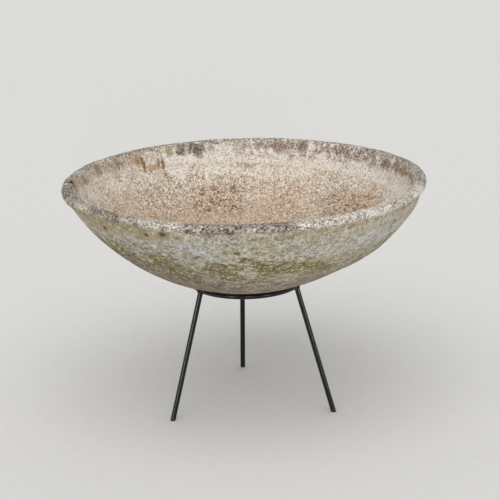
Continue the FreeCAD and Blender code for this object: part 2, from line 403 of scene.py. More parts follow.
def grow(name, guide, tree, values):
    """Runs a tree on a guide mesh and keeps the result as a plain mesh object."""
    board, keys = tree
    piece = bpy.data.objects.new(name, guide)
    bpy.context.scene.collection.objects.link(piece)
    modifier = piece.modifiers.new("shape", "NODES")
    modifier.node_group = board.tree
    for label, value in values.items():
        modifier[keys[label]] = value
    graph = bpy.context.evaluated_depsgraph_get()
    mesh = bpy.data.meshes.new_from_object(
        piece.evaluated_get(graph), preserve_all_data_layers=True, depsgraph=graph
    )
    piece.modifiers.clear()
    piece.data = mesh
    mesh.name = name
    bpy.data.meshes.remove(guide)
    print(name, "has", len(mesh.vertices), "points and", len(mesh.polygons), "faces")
    return piece


print("guides can be grown into meshes")

# %% [markdown]
# ## Where the marks are
#
# Pits and stains that stand out are listed one by one: an angle round the axis and a depth below the
# rim, on the outside or the inside. Scattering them at random would be less work, but the eye knows
# the few large ones by their places. The same list of pits dents the mesh and darkens the finish.


# %% Places on the bowl
def on_bowl(angle, depth, inside):
    """A point of the bowl's surface, from degrees round the axis and metres below the rim."""
    up = RIM_HEIGHT - depth
    if inside and depth < BAND_DEPTH:
        share = depth / BAND_DEPTH
        across = (RIM_RADIUS - LIP_WIDTH) * (1 - share) + fold[0] * share
    else:
        across = on_ball(inner_radius if inside else shell_radius, up)
    return round_axis(angle, across, up)


PITS = [
    # angle, depth below the rim, inside, radius, depth of the pit, colour at its bottom
    (-94.5, 0.008, True, 0.0170, 0.0080, (28, 20, 10)),
    (-95.5, 0.003, True, 0.0150, 0.0060, (34, 27, 12)),
    (-53.7, 0.042, False, 0.0085, 0.0040, (40, 32, 22)),
    (-35.5, 0.036, False, 0.0075, 0.0035, (74, 58, 34)),
    (-29.5, 0.030, False, 0.0110, 0.0035, (88, 76, 46)),
    (-25.0, 0.036, False, 0.0065, 0.0015, (132, 104, 76)),
    (64.0, 0.055, False, 0.0070, 0.0025, (84, 72, 50)),
    (141.0, 0.048, False, 0.0080, 0.0030, (70, 58, 38)),
    (-148.0, 0.062, False, 0.0070, 0.0030, (70, 58, 38)),
]
print("pits placed by hand", len(PITS))

# %% [markdown]
# ## Relief
#
# Years of weather are pushed into the surface along its normals: a slow wave from the hand-laid
# sheet, lumps, grain, a crumbling lip, small holes and the pits. Sculpting would do for one view,
# but a relief made of noises covers the whole bowl alike and stays a few named heights. The fold
# inside runs a little deeper to the right and the right flank is fuller, because the sheet was laid
# by hand. Where the ring carries the bowl the surface stays true.

# %% Relief sizes
# blots per metre of each noise
WAVE_SCALE, LUMP_SCALE, GRAIN_SCALE, LIP_SCALE = 4.5, 28.0, 105.0, 95.0
FINE_ROUGHNESS = 0.6
# wear of the lip: gone and full at these distances along the section, in metres
LIP_REACH = (0.045, 0.014)
# small holes: cells per metre, edge and bottom of a hole in shares of a cell, depth in metres
HOLE_SCALE, HOLE_SIZE, HOLE_DEPTH = 24.0, (0.17, 0.06), 0.0012
HOLE_GROUP_SCALE, HOLE_GROUPS = 9.0, (0.52, 0.56)
PIT_FLOOR = 0.3
# the edge of the fold: how far it wanders, how soft it is, and its drop for each metre to the right
LEDGE_WANDER, LEDGE_SOFT, LEDGE_TILT = 0.016, 0.004, 0.043
LEDGE_FADE = (0.0, -0.01)
# the seat on the ring: its distances from the axis, and along the section so that the inside has none
SEAT_SPAN = (0.112, 0.122, 0.150, 0.165)
SEAT_ALONG = (0.20, 0.25)
# the fuller flank: its angle, cosines from its edge to its middle, and depths below the rim
BULGE_ANGLE = 68.0
BULGE_WIDTH = (0.45, 0.92)
BULGE_DEPTHS = (0.012, 0.060, 0.140, 0.215)
RIM_EDGE = 0.001
LEVEL = (1.0, 1.0, 0.0)


def bulge(board, place, along):
    """1 outside and -1 inside where the sheet was laid fuller, fading to 0 around it."""
    facing = board.vector("NORMALIZE", board.vector("MULTIPLY", place, LEVEL))
    wide = board.between(board.likeness(facing, BULGE_ANGLE), *BULGE_WIDTH)
    _, _, up = board.parts(place)
    top, full_top, full_low, low = (RIM_HEIGHT - depth for depth in BULGE_DEPTHS)
    tall = board.between(up, top, full_top) * board.between(up, low, full_low)
    side = board.between(along, -RIM_EDGE, RIM_EDGE) * 2 - 1
    return wide * tall * side


print("the fuller flank is at", BULGE_ANGLE, "degrees")

# %% [markdown]
# ### All heights together
#
# Each kind of wear is a height in metres, and the heights add up as wear does. One Displace
# modifier for each would do the same, but would need a texture each, and here all of them can share
# masks.


# %% Relief of the bowl
def bowl_relief(board, given):
    """How far the weather has raised or eaten the surface, in metres."""
    place = board.node("GeometryNodeInputPosition")
    along = stored(board, "along")
    east, north, up = board.parts(place)
    radius = board.math("SQRT", east * east + north * north)
    on_lip = board.between(board.math("ABSOLUTE", along), *LIP_REACH)
    on_lip = on_lip * board.between(up, RIM_HEIGHT - BAND_DEPTH, RIM_HEIGHT - LIP_ROUND)
    wave = board.stray(board.noise(place, WAVE_SCALE, detail=1.0), given["Wave"])
    lumps = board.stray(board.noise(place, LUMP_SCALE), given["Lumps"])
    grain = board.stray(board.noise(place, GRAIN_SCALE, roughness=FINE_ROUGHNESS), given["Grain"])
    crumble = board.noise(place, LIP_SCALE, detail=3.0, roughness=FINE_ROUGHNESS)
    wear = board.stray(crumble, given["Lip wear"]) * on_lip
    wander = board.stray(board.noise(place, LUMP_SCALE, detail=1.0), LEDGE_WANDER)
    ledge = up + east * LEDGE_TILT + wander
    step = board.between(ledge, fold_up - LEDGE_SOFT, fold_up + LEDGE_SOFT)
    step = step * board.between(along, *LEDGE_FADE)
    height = wave + lumps + grain + wear + step * given["Fold"]
    height = height + bulge(board, place, along) * given["Bulge"]
    cells = {"Vector": place, "Scale": HOLE_SCALE}
    hole = board.between(board.node("ShaderNodeTexVoronoi", {}, cells, "Distance"), *HOLE_SIZE)
    chosen = board.between(board.noise(place, HOLE_GROUP_SCALE, detail=1.0), *HOLE_GROUPS)
    height = height - hole * chosen * HOLE_DEPTH
    for angle, depth, inside, size, dent, _ in PITS:
        away = board.away(place, on_bowl(angle, depth, inside))
        height = height - board.between(away, size, size * PIT_FLOOR) * dent
    near_in, near_out, far_in, far_out = SEAT_SPAN
    seat = board.between(radius, near_in, near_out) * board.between(radius, far_out, far_in)
    seat = seat * board.between(along, *SEAT_ALONG)
    return height * (1 - seat)


print("relief of the bowl ready")

# %% [markdown]
# ## Turning the section
#
# The tree turns the section: a grid takes its columns round the axis and its rows from the
# section's points. A spun curve would do the same, but on the grid each point knows its place along
# the section. The two edges of the grid meet and are merged, and only then is the surface pushed
# out along its normals.

# %% Bowl tree
GRID_HALF = 0.5
MERGE_DISTANCE = 1e-5


def row_value(board, given, kind, value, row):
    """A value of the guide's point with the number of a row."""
    sockets = {"Geometry": given["Geometry"], "Value": value, "Index": row}
    return board.node("GeometryNodeSampleIndex", {"data_type": kind}, sockets)


def turned_points(board, given):
    """Where each point of the grid lies on the turned section, and how far along it."""
    place = board.node("GeometryNodeInputPosition")
    round_share, row_share, _ = board.parts(place)
    angle = (round_share + GRID_HALF) * math.tau
    row = board.math("ROUND", (row_share + GRID_HALF) * (given["Rows"] - 1))
    point = row_value(board, given, "FLOAT_VECTOR", place, row)
    along = row_value(board, given, "FLOAT", stored(board, "along"), row)
    across, _, up = board.parts(point)
    east = across * board.math("SINE", angle)
    north = -(across * board.math("COSINE", angle))
    return board.node("ShaderNodeCombineXYZ", {}, {"X": east, "Y": north, "Z": up}), along


def bowl_tree():
    sizes = {"Columns": "Int", "Rows": "Int", "Material": "Material"}
    heights = {label: "Float" for label in ("Wave", "Lumps", "Grain", "Lip wear", "Bulge", "Fold")}
    board, given, keys = new_shape_tree("turned bowl", {**sizes, **heights})
    counts = {"Vertices X": given["Columns"] + 1, "Vertices Y": given["Rows"]}
    grid = board.node("GeometryNodeMeshGrid", {}, {"Size X": 1.0, "Size Y": 1.0, **counts})
    turned, along = turned_points(board, given)
    marked = board.node(
        "GeometryNodeStoreNamedAttribute",
        {"data_type": "FLOAT", "domain": "POINT"},
        {"Geometry": grid, "Name": "along", "Value": along},
    )
    sheet = board.node("GeometryNodeSetPosition", {}, {"Geometry": marked, "Position": turned})
    seam = {"Geometry": sheet, "Distance": MERGE_DISTANCE}
    closed = board.node("GeometryNodeMergeByDistance", {}, seam)
    facing = board.node("GeometryNodeFlipFaces", {}, {"Mesh": closed})
    reach = {0: board.node("GeometryNodeInputNormal"), "Scale": bowl_relief(board, given)}
    push = board.node("ShaderNodeVectorMath", {"operation": "SCALE"}, reach)
    worn = board.node("GeometryNodeSetPosition", {}, {"Geometry": facing, "Offset": push})
    end_shape_tree(board, worn, given["Material"])
    return board, keys


BOWL_TREE = bowl_tree()
print("bowl tree has", len(BOWL_TREE[0].tree.nodes), "nodes")

# %% [markdown]
# ## Colours
#
# Colours are written as they are seen, with 0 to 255 for red, green and blue, and turned into the
# linear light that shaders work in. A Finish is the board of a material. It can mix two colours, or
# lay a tint over a colour where a mask says so, as a painter glazes one layer over another.

# %% Colour helpers
FULL = 255
# the Mix node has sockets of several kinds: these are its factor and those for colours
MIX_SHARE, MIX_FIRST, MIX_SECOND, MIX_RESULT = 0, 6, 7, 2


def paint(red, green, blue):
    """A seen colour as linear light."""
    seen = Color((red / FULL, green / FULL, blue / FULL))
    return (*seen.from_srgb_to_scene_linear(), 1.0)


class Finish(Field):
    """The node tree of a material."""

    def mix(self, share, first, second):
        """From the first colour to the second; each is a wire or a seen red, green and blue."""
        pair = [part if isinstance(part, Wire) else paint(*part) for part in (first, second)]
        sockets = {MIX_SHARE: share, MIX_FIRST: pair[0], MIX_SECOND: pair[1]}
        return self.node("ShaderNodeMix", {"data_type": "RGBA"}, sockets, MIX_RESULT)

    def lay(self, colour, tint, mask, share=1.0):
        """A tint laid over a colour where a mask is 1, at most by a share."""
        return self.mix(mask if share == 1.0 else mask * share, colour, tint)


def new_finish(name, kind=Finish):
    """An empty material: the material, its board and its surface shader."""
    material = bpy.data.materials.new(name)
    material.use_nodes = True
    return material, kind(material.node_tree), material.node_tree.nodes["Principled BSDF"]


print("a seen mid grey is", tuple(round(value, 3) for value in paint(128, 128, 128)))

# %% [markdown]
# ## The weathered cement
#
# New fibre cement is plain grey. Outdoors the outside grows moss and pale lichen in streaks that
# follow the pressed fibres, the lip is peppered with black and white lichen, and the inside, once
# full of wet earth, is stained tan. A painted image would hold all this too, but it would need a
# map and would blur close up. So each of these is a layer: a colour, and a mask made of its zone
# and a noise. First come the lists of what has its own place: drips and spots, and the cushions of
# moss.

# %% Stains listed one by one
STAINS = [
    # angle, depth, inside, half its width, stretch down the wall, colour, strength
    (-160.5, 0.019, True, 0.021, 1.1, (98, 89, 75), 1.0),
    (-166.2, 0.017, True, 0.036, 0.72, (98, 88, 74), 1.0),
    (-172.0, 0.017, True, 0.013, 0.8, (104, 96, 86), 0.6),
    (-141.5, 0.022, True, 0.024, 1.0, (164, 134, 84), 0.7),
    (-148.0, 0.046, True, 0.032, 0.4, (172, 144, 98), 0.75),
    (-141.5, 0.024, True, 0.006, 3.5, (136, 108, 62), 0.8),
    (-143.6, 0.032, True, 0.007, 3.5, (114, 80, 34), 0.95),
    (-150.3, 0.038, True, 0.007, 2.5, (112, 82, 38), 0.9),
    (-152.0, 0.042, True, 0.007, 4.0, (116, 84, 40), 0.95),
    (-155.5, 0.019, True, 0.015, 1.4, (138, 116, 78), 0.75),
    (-120.0, 0.016, True, 0.020, 0.9, (112, 96, 80), 0.7),
    (-132.0, 0.020, True, 0.016, 1.0, (128, 104, 84), 0.6),
    (-108.0, 0.018, True, 0.018, 1.0, (126, 106, 86), 0.6),
    (162.5, 0.018, True, 0.020, 1.0, (128, 106, 94), 0.8),
    (153.0, 0.016, True, 0.015, 1.4, (112, 92, 82), 0.8),
    (113.5, 0.024, True, 0.022, 1.0, (116, 96, 84), 0.75),
    (122.0, 0.036, True, 0.018, 1.0, (126, 108, 96), 0.6),
    (99.5, 0.022, True, 0.020, 1.0, (152, 108, 62), 0.9),
    (106.0, 0.020, True, 0.020, 1.0, (112, 92, 76), 0.7),
    (-53.5, 0.042, False, 0.026, 1.0, (152, 128, 82), 0.85),
    (-36.5, 0.037, False, 0.022, 1.0, (156, 132, 92), 0.8),
    (-29.5, 0.032, False, 0.019, 1.0, (136, 118, 80), 0.85),
    (-24.5, 0.037, False, 0.016, 1.1, (160, 138, 112), 0.6),
    (-96.0, 0.008, True, 0.034, 0.8, (136, 120, 70), 0.9),
    (-169.0, 0.088, True, 0.006, 4.5, (240, 236, 228), 0.95),
]
print("stains placed by hand", len(STAINS))

# %% [markdown]
# ### Where moss grows
#
# Moss starts where water stays longest, and its cushions are what the eye finds first. Each growth
# makes moss likelier around a place, or less likely where the cement has stayed bare. Painting a
# mask by hand would also place them, but a short list is easier to change.

# %% Moss growths listed one by one
GROWTHS = [
    # angle, depth, radius, how much more moss grows there, or less if below 0
    (-76.0, 0.115, 0.070, 0.16),
    (-66.0, 0.150, 0.080, 0.14),
    (-52.0, 0.130, 0.070, 0.10),
    (-34.5, 0.122, 0.052, 0.27),
    (-30.0, 0.162, 0.042, 0.25),
    (-25.0, 0.095, 0.060, -0.16),
    (-20.0, 0.092, 0.016, 0.20),
    (-16.0, 0.128, 0.048, 0.17),
    (-10.0, 0.150, 0.050, 0.17),
    (-5.0, 0.096, 0.018, 0.15),
    (-3.0, 0.146, 0.030, -0.14),
    (-2.0, 0.072, 0.036, -0.10),
    (0.5, 0.117, 0.026, 0.15),
    (8.0, 0.127, 0.036, 0.19),
    (14.5, 0.128, 0.036, 0.15),
    (21.0, 0.124, 0.034, 0.06),
    (29.0, 0.118, 0.040, -0.06),
    (6.0, 0.150, 0.030, 0.08),
    (14.0, 0.146, 0.030, 0.10),
    (10.5, 0.092, 0.022, -0.14),
    (16.0, 0.168, 0.050, -0.14),
    (40.0, 0.080, 0.090, -0.12),
    (80.0, 0.124, 0.100, 0.08),
    (104.0, 0.150, 0.090, 0.07),
    (126.0, 0.128, 0.110, 0.09),
    (152.0, 0.146, 0.090, 0.07),
    (174.0, 0.126, 0.110, 0.09),
    (-162.0, 0.150, 0.090, 0.07),
    (-140.0, 0.130, 0.100, 0.09),
    (-118.0, 0.150, 0.090, 0.08),
    (-98.0, 0.124, 0.090, 0.09),
]
print("growths of moss placed by hand", len(GROWTHS))

# %% [markdown]
# ### Zones and noises
#
# All layers share a few coordinates: the depth below the rim, the direction from the axis, and the
# stored distance from the top of the lip, which tells inside from outside. A sector is a stretch
# round the axis, a belt is a stretch of depths, and a zone is where the two cross. The noises run
# from clouds as wide as a hand to pepper as fine as sand; those of the outside are stretched round
# the bowl, as its fibres lie.

# %% Zones of the bowl
INSIDE_EDGE = (0.002, -0.008)


class BowlFinish(Finish):
    """A finish that knows where on the bowl it lies."""

    def __init__(self, tree):
        super().__init__(tree)
        self.place = self.node("ShaderNodeTexCoord", out="Object")
        self.east, self.north, up = self.parts(self.place)
        self.depth = RIM_HEIGHT - up
        self.fold = self.depth - self.east * LEDGE_TILT
        self.along = self.node("ShaderNodeAttribute", {"attribute_name": "along"}, out="Fac")
        self.inside = self.between(self.along, *INSIDE_EDGE)
        flat = self.node("ShaderNodeCombineXYZ", {}, {"X": self.east, "Y": self.north})
        self.facing = self.vector("NORMALIZE", flat)

    def sector(self, angle, half, soft):
        """1 within half degrees of an angle round the axis, fading over soft degrees."""
        outer, inner = math.cos(math.radians(half + soft)), math.cos(math.radians(half))
        return self.between(self.likeness(self.facing, angle), outer, inner)

    def belt(self, top, full_top, full_low, low, depth=None):
        """1 between two depths below the rim, fading to 0 at the outer two."""
        depth = depth or self.depth
        return self.between(depth, top, full_top) * self.between(depth, low, full_low)

    def zone(self, sector, belt):
        """1 where a sector and a belt cross."""
        return self.sector(*sector) * self.belt(*belt)

    def reach(self, angle, depth, inside, stretch):
        """Distance from a place on the bowl, counted shorter by the stretch down the wall."""
        offset = self.vector("SUBTRACT", self.place, on_bowl(angle, depth, inside))
        length = self.vector("LENGTH", offset, out="Value")
        sideways = self.likeness(offset, angle + 90.0)
        square = sideways * sideways
        return self.math("SQRT", square + (length * length - square) / stretch**2)

    def lift(self, mask, least, more):
        """A mask raised to a least value, with more where it is 1."""
        return least + mask * more


print("sectors, belts and zones ready")

# %% Noises of the cement
FIBRE_SQUEEZE = (1.0, 1.0, 2.6)
DRIP_RADIUS, DRIP_RATE = 0.42, 0.5
APART = (3.1, 1.7, 4.9)


class Cement(BowlFinish):
    """The board of the cement, with the noises that its layers share."""

    def __init__(self, tree):
        super().__init__(tree)
        self.fibres = self.vector("MULTIPLY", self.place, FIBRE_SQUEEZE)
        across, back, _ = self.parts(self.facing)
        drip = {"X": across * DRIP_RADIUS, "Y": back * DRIP_RADIUS, "Z": self.along * DRIP_RATE}
        self.drips = self.node("ShaderNodeCombineXYZ", {}, drip)
        self.cloud = self.noise(self.place, scale=7.0, detail=3.0, roughness=0.55)
        self.patch = self.noise(self.place, scale=26.0, detail=4.0, roughness=0.6)
        self.grit = self.noise(self.place, scale=105.0, detail=4.0, roughness=0.68)
        self.pepper = self.noise(self.place, scale=190.0, detail=3.0, roughness=0.68)
        self.streak = self.noise(self.fibres, scale=24.0, detail=6.0, roughness=0.74)
        self.fleck = self.noise(self.fibres, scale=84.0, detail=4.0, roughness=0.7)
        self.apart = self.vector("ADD", self.fibres, APART)
        self.soot = self.noise(self.apart, scale=70.0, detail=4.0, roughness=0.72)


print("noises of the cement ready")

# %% [markdown]
# ### The inside
#
# Wet earth stood against the inside for years and is still in its pores: damp crumbs are dark, dry
# ones tan, and lime has come out in pale grains. One noise with three colours gives all of these.
# Slower noises turn it pink in places and tan lower down, and silt lies round the drain hole.

# %% Earth on the inside
DAMP_CRUMB, DRY_CRUMB, LIME_CRUMB = (108, 83, 60), (188, 166, 143), (247, 237, 222)
PINK_EARTH, TAN_EARTH, SILT = (210, 178, 154), (182, 144, 100), (116, 92, 68)
# steps of a noise or a depth: a layer is absent at the first number and full at the second
DRY_STEPS, LIME_STEPS, PINK_STEPS = (0.395, 0.465), (0.505, 0.555), (0.40, 0.64)
TAN_DEPTHS, SILT_DEPTHS = (0.11, 0.19), (0.215, 0.262)
CRUMB_PART, GRIT_PART = 0.7, 0.3
# a sector: its angle, half its width and how far it fades beyond that, in degrees
DAMP_LEFT, DAMPNESS = (-118.0, 24.0, 20.0), 0.012


def earth_colour(board, crumb):
    """Earth in the pores of the inside, with the grain it is made of and its tan lower part."""
    grain = crumb * CRUMB_PART + board.grit * GRIT_PART + board.stray(board.patch, reach=0.08)
    grain = grain - board.sector(*DAMP_LEFT) * DAMPNESS
    colour = board.mix(board.between(grain, *DRY_STEPS), DAMP_CRUMB, DRY_CRUMB)
    colour = board.mix(board.between(grain, *LIME_STEPS), colour, LIME_CRUMB)
    pink = board.between(board.cloud + board.stray(board.patch, reach=0.4), *PINK_STEPS)
    colour = board.lay(colour, PINK_EARTH, pink, share=0.32)
    tan = board.between(board.depth + board.stray(board.cloud, reach=0.10), *TAN_DEPTHS)
    colour = board.lay(colour, TAN_EARTH, tan, share=0.34)
    silt = board.between(board.depth + board.stray(board.patch, reach=0.06), *SILT_DEPTHS)
    return board.lay(colour, SILT, silt, share=0.45), grain, tan


print("earth lies below", TAN_DEPTHS[0], "m and silt below", SILT_DEPTHS[0], "m")

# %% [markdown]
# ### The band under the lip
#
# The thick band between the lip and the fold stood clear of the earth. It is chalky, with drips
# that hang from the lip, and tan on the left. Lime has run out from under the fold, and on the left a
# painted highlight lies under the fold's ledge. Drips could be drawn one by one, as the large ones
# are, but the small ones come from a noise whose coordinates change half as fast down the wall, so
# that its blots grow long.

# %% Lime and band
LIME_AND_LEDGE_HIGHLIGHT = (228, 223, 214)
# a belt: the depths at which it begins, is full from, is full to, and has ended
UNDER_FOLD_BELT = (0.055, 0.064, 0.076, 0.115)
UNDER_FOLD_PATCHES, UNDER_FOLD_GRAINS = (0.36, 0.56), (0.42, 0.52)
# the left sector lays a painted highlight under the fold's ledge
LIME_BACK, LEDGE_HIGHLIGHT_LEFT, LEDGE_HIGHLIGHT_MORE = (176.0, 26.0, 12.0), (-122.0, 30.0, 12.0), 0.4
CHALK_DARK, CHALK_MIDDLE, CHALK_PALE = (150, 136, 121), (217, 208, 197), (236, 230, 221)
CHALK_STEPS, PALE_STEPS, BAND_EDGE = (0.37, 0.47), (0.52, 0.60), (0.064, 0.054)
DRIP_PART, CHALK_CRUMB_PART = 0.4, 0.6
TAN_DARK, TAN_PALE, TAN_STEPS = (92, 74, 56), (190, 170, 146), (0.40, 0.52)
TAN_LEFT, TAN_EDGE = (-108.0, 24.0, 26.0), (0.062, 0.040)


def lime_and_ledge_highlight(board, colour, grain):
    """Lime below the fold, most of it at the back, and a painted highlight under the ledge on the
    left.
    """
    lime_and_highlight = board.belt(*UNDER_FOLD_BELT, depth=board.fold) * board.between(board.patch, *UNDER_FOLD_PATCHES)
    back = board.lift(board.sector(*LIME_BACK), least=0.30, more=0.3)
    lime_and_highlight = lime_and_highlight * (back + board.sector(*LEDGE_HIGHLIGHT_LEFT) * LEDGE_HIGHLIGHT_MORE)
    lime_and_highlight = lime_and_highlight * board.lift(board.between(grain, *UNDER_FOLD_GRAINS), least=0.5, more=0.5)
    return board.lay(colour, LIME_AND_LEDGE_HIGHLIGHT, lime_and_highlight)


def band_colour(board, colour, crumb, fold):
    """Chalk on the band, turning tan on the left."""
    band = board.between(fold, *BAND_EDGE)
    drip = board.noise(board.drips, scale=130.0, detail=4.0, roughness=0.7)
    chalk = drip * DRIP_PART + crumb * CHALK_CRUMB_PART + board.stray(board.patch, reach=0.12)
    chalky = board.mix(board.between(chalk, *CHALK_STEPS), CHALK_DARK, CHALK_MIDDLE)
    chalky = board.mix(board.between(chalk, *PALE_STEPS), chalky, CHALK_PALE)
    colour = board.lay(colour, chalky, band, share=0.9)
    left = board.sector(*TAN_LEFT)
    left = left * board.between(board.fold + board.stray(board.patch, reach=0.05), *TAN_EDGE)
    tan = board.mix(board.between(chalk, *TAN_STEPS), TAN_DARK, TAN_PALE)
    return board.lay(colour, tan, band * left, share=0.85)


print("the band ends", BAND_DEPTH, "m below the rim")

# %% [markdown]
# ### Lichen under the lip
#
# On the right umber lichen hangs under the lip and dark dots sit along the inner edge. A line of
# painted shade lies in the corner of the fold, and a patch of the right wall is painted paler as
# painted light. These could be stains from the list above, but they run on for too long, so each is
# a sector or a belt with a noise in it.

# %% Umber, dots and crease
UMBER_DARK, UMBER_PALE, UMBER_STEPS = (68, 52, 42), (160, 138, 122), (0.40, 0.57)
UMBER_RIGHT, UMBER_EDGE, UMBER_WORN = (128.0, 36.0, 26.0), (0.052, 0.024), (0.40, 0.52)
UMBER_CRUMB_PART, UMBER_BASE = 0.8, 0.1
WORN_PATCH_PART, WORN_GRIT_PART = 0.6, 0.4
DOT, DOT_STEPS, DOT_PATCHES, DOT_EDGE = (90, 77, 67), (0.55, 0.60), (0.44, 0.58), (0.040, 0.008)
# painted shade: a dark line in the corner of the fold
CREASE_SHADE, CREASE_WIDTH, CREASE_GRIT = (118, 102, 86), (0.0050, 0.0014), (0.44, 0.56)
CREASE_BACK = (170.0, 5.0, 4.0)
# painted light: a paler patch on the inside right wall
PAINTED_LIGHT_PATCH, PAINTED_LIGHT_GRAINS = (240, 232, 226), (0.40, 0.48)
PAINTED_LIGHT_ZONE = (90.0, 9.0, 12.0), (0.022, 0.034, 0.085, 0.12)


def umber_under_lip(board, colour, crumb):
    """Umber lichen under the lip on the right, and dark dots along the edge."""
    right = board.sector(*UMBER_RIGHT)
    near_rim = board.between(board.depth + board.stray(board.patch, reach=0.12), *UMBER_EDGE)
    speckle = crumb * UMBER_CRUMB_PART + board.stray(board.patch, reach=0.12) + UMBER_BASE
    umber = board.mix(board.between(speckle, *UMBER_STEPS), UMBER_DARK, UMBER_PALE)
    worn = board.between(board.patch * WORN_PATCH_PART + board.grit * WORN_GRIT_PART, *UMBER_WORN)
    colour = board.lay(colour, umber, near_rim * right * worn)
    dots = board.between(board.pepper, *DOT_STEPS) * board.between(board.patch, *DOT_PATCHES)
    return board.lay(colour, DOT, dots * board.between(board.depth, *DOT_EDGE), share=0.85)


def painted_fold_shade_and_light(board, colour, grain, fold):
    """Painted shade in the corner of the fold, and a patch on the right painted paler as painted
    light.
    """
    # painted shade along the corner of the fold
    crease = board.between(board.math("ABSOLUTE", fold - BAND_DEPTH), *CREASE_WIDTH)
    crease = crease * board.between(board.grit, *CREASE_GRIT)
    crease = crease * board.lift(board.sector(*CREASE_BACK), least=0.12, more=0.55)
    colour = board.lay(colour, CREASE_SHADE, crease)
    # painted light: the inside right wall is painted paler here
    painted_light = board.zone(*PAINTED_LIGHT_ZONE) * board.between(grain, *PAINTED_LIGHT_GRAINS)
    return board.lay(colour, PAINTED_LIGHT_PATCH, painted_light, share=0.45)


print("umber lies around", UMBER_RIGHT[0], "degrees")

# %% [markdown]
# ### Roots
#
# Fine roots have left a net of brown threads where the earth was deepest. A Voronoi texture knows
# how far a place is from the border of its cell, so a narrow step of that distance draws a net. Its
# coordinates are shaken by a noise first, because roots aren't straight, and a slower noise breaks
# the threads.

# %% Roots and inside colour
ROOT, ROOTED_EARTH = (104, 74, 47), (178, 142, 100)
SHAKE_SCALE, SHAKE = 75.0, (0.020, 0.020, 0.020)
NET_SCALE, THREAD_WIDTH = 64.0, (0.11, 0.03)
BREAK_SCALE, BREAKS = 52.0, (0.42, 0.52)
HEART_ZONE = (-170.5, 8.0, 8.0), (0.098, 0.120, 0.158, 0.180)
OTHER_ZONE = (122.0, 6.0, 12.0), (0.09, 0.11, 0.15, 0.19)
HEART_EARTH, OTHER_EARTH = 0.2, 0.25
OTHER_ROOTS, LOW_ROOTS = 0.85, 0.25
FOLD_WANDER = 0.020


def rooted(board, colour, low):
    """Threads of root, dense in two places and thin over the lower inside."""
    sway = {"Vector": board.place, "Scale": SHAKE_SCALE}
    shake = board.node("ShaderNodeTexNoise", {}, sway, "Color")
    shaken = board.vector("MULTIPLY_ADD", shake, SHAKE, board.place)
    edges = {"feature": "DISTANCE_TO_EDGE"}
    net = board.node("ShaderNodeTexVoronoi", edges, {"Vector": shaken, "Scale": NET_SCALE})
    thread = board.between(net, *THREAD_WIDTH)
    thread = thread * board.between(board.noise(board.place, BREAK_SCALE, detail=1.0), *BREAKS)
    heart = board.zone(*HEART_ZONE)
    other = board.zone(*OTHER_ZONE)
    colour = board.lay(colour, ROOTED_EARTH, heart * HEART_EARTH + other * OTHER_EARTH)
    roots = heart + other * OTHER_ROOTS + low * LOW_ROOTS
    return board.lay(colour, ROOT, thread * roots, share=0.95)


def inside_colour(board):
    """Tan from wet earth, paler under the fold, a stained band, and painted shade and light."""
    crumb = board.noise(board.place, scale=265.0, detail=3.0, roughness=0.74, distortion=0.8)
    colour, grain, low = earth_colour(board, crumb)
    colour = lime_and_ledge_highlight(board, colour, grain)
    fold = board.fold + board.stray(board.patch, reach=FOLD_WANDER)
    colour = band_colour(board, colour, crumb, fold)
    colour = umber_under_lip(board, colour, crumb)
    colour = painted_fold_shade_and_light(board, colour, grain, fold)
    return rooted(board, colour, low)


print("roots are densest at", HEART_ZONE[0][0], "and", OTHER_ZONE[0][0], "degrees")

# %% [markdown]
# ### The outside
#
# Under everything is the cement itself, in two greys, with bluish chalk where it is cleanest and a
# green tinge at the front. One flat grey would look like new plaster. Narrow steps of noises keep
# it mottled, because a wide step gives fog where the real surface has specks.

# %% Bare cement
GREY_DARK, GREY_PALE, GREY_STEPS = (181, 170, 149), (207, 200, 186), (0.36, 0.62)
COOL, COOL_STEPS, COOL_BELT = (198, 198, 195), (0.46, 0.60), (0.03, 0.05, 0.10, 0.14)
CHALK, CHALK_GRIT = (200, 206, 212), (0.36, 0.48)
CHALK_LEFT = (-24.0, 6.0, 8.0), (0.045, 0.060, 0.095, 0.120)
CHALK_RIGHT = (34.0, 17.0, 11.0), (0.045, 0.060, 0.092, 0.110)
CHALK_RIGHT_SHARE = 0.75
TINGE, TINGE_PATCHES = (166, 158, 116), (0.36, 0.60)
TINGE_ZONE = (10.0, 14.0, 16.0), (0.022, 0.032, 0.08, 0.11)


def bare_cement(board):
    """Two greys, cooler in a belt, with chalk on both sides and a green tinge at the front."""
    colour = board.mix(board.between(board.patch, *GREY_STEPS), GREY_DARK, GREY_PALE)
    cool = board.between(board.cloud + board.stray(board.patch, reach=0.5), *COOL_STEPS)
    colour = board.lay(colour, COOL, cool * board.belt(*COOL_BELT), share=0.7)
    chalk = board.zone(*CHALK_LEFT)
    chalk = chalk + board.zone(*CHALK_RIGHT) * CHALK_RIGHT_SHARE
    colour = board.lay(colour, CHALK, chalk * board.between(board.grit, *CHALK_GRIT), share=0.85)
    tinge = board.zone(*TINGE_ZONE) * board.between(board.patch, *TINGE_PATCHES)
    return board.lay(colour, TINGE, tinge, share=0.55), chalk


print("chalk shows at", CHALK_LEFT[0][0], "and", CHALK_RIGHT[0][0], "degrees")

# %% [markdown]
# ### Soot and dirt
#
# Soot and dirt have settled in the pores, with a thin olive film over them. One dark noise would do
# from afar. Close up each has its own size of speck and its own belt of depths, so each is a layer.

# %% Soot and dirt
HALF = 0.5
SOOT, SOOT_STEPS = (112, 101, 80), (0.48, 0.41)
CLEAN_RIGHT, CLEANER = (40.0, 22.0, 16.0), 0.25
OLIVE, OLIVE_STEPS, OLIVE_BELT = (142, 131, 98), (0.50, 0.58), (0.02, 0.035, 0.12, 0.16)
DIRT, DIRT_STEPS, DIRT_BELT = (108, 95, 66), (0.50, 0.60), (0.03, 0.06, 0.20, 0.25)
SPECK, SPECK_STEPS = (94, 84, 50), (0.54, 0.59)
SPECK_FRONT, SPECK_BELT = (0.0, 24.0, 14.0), (0.018, 0.026, 0.09, 0.12)


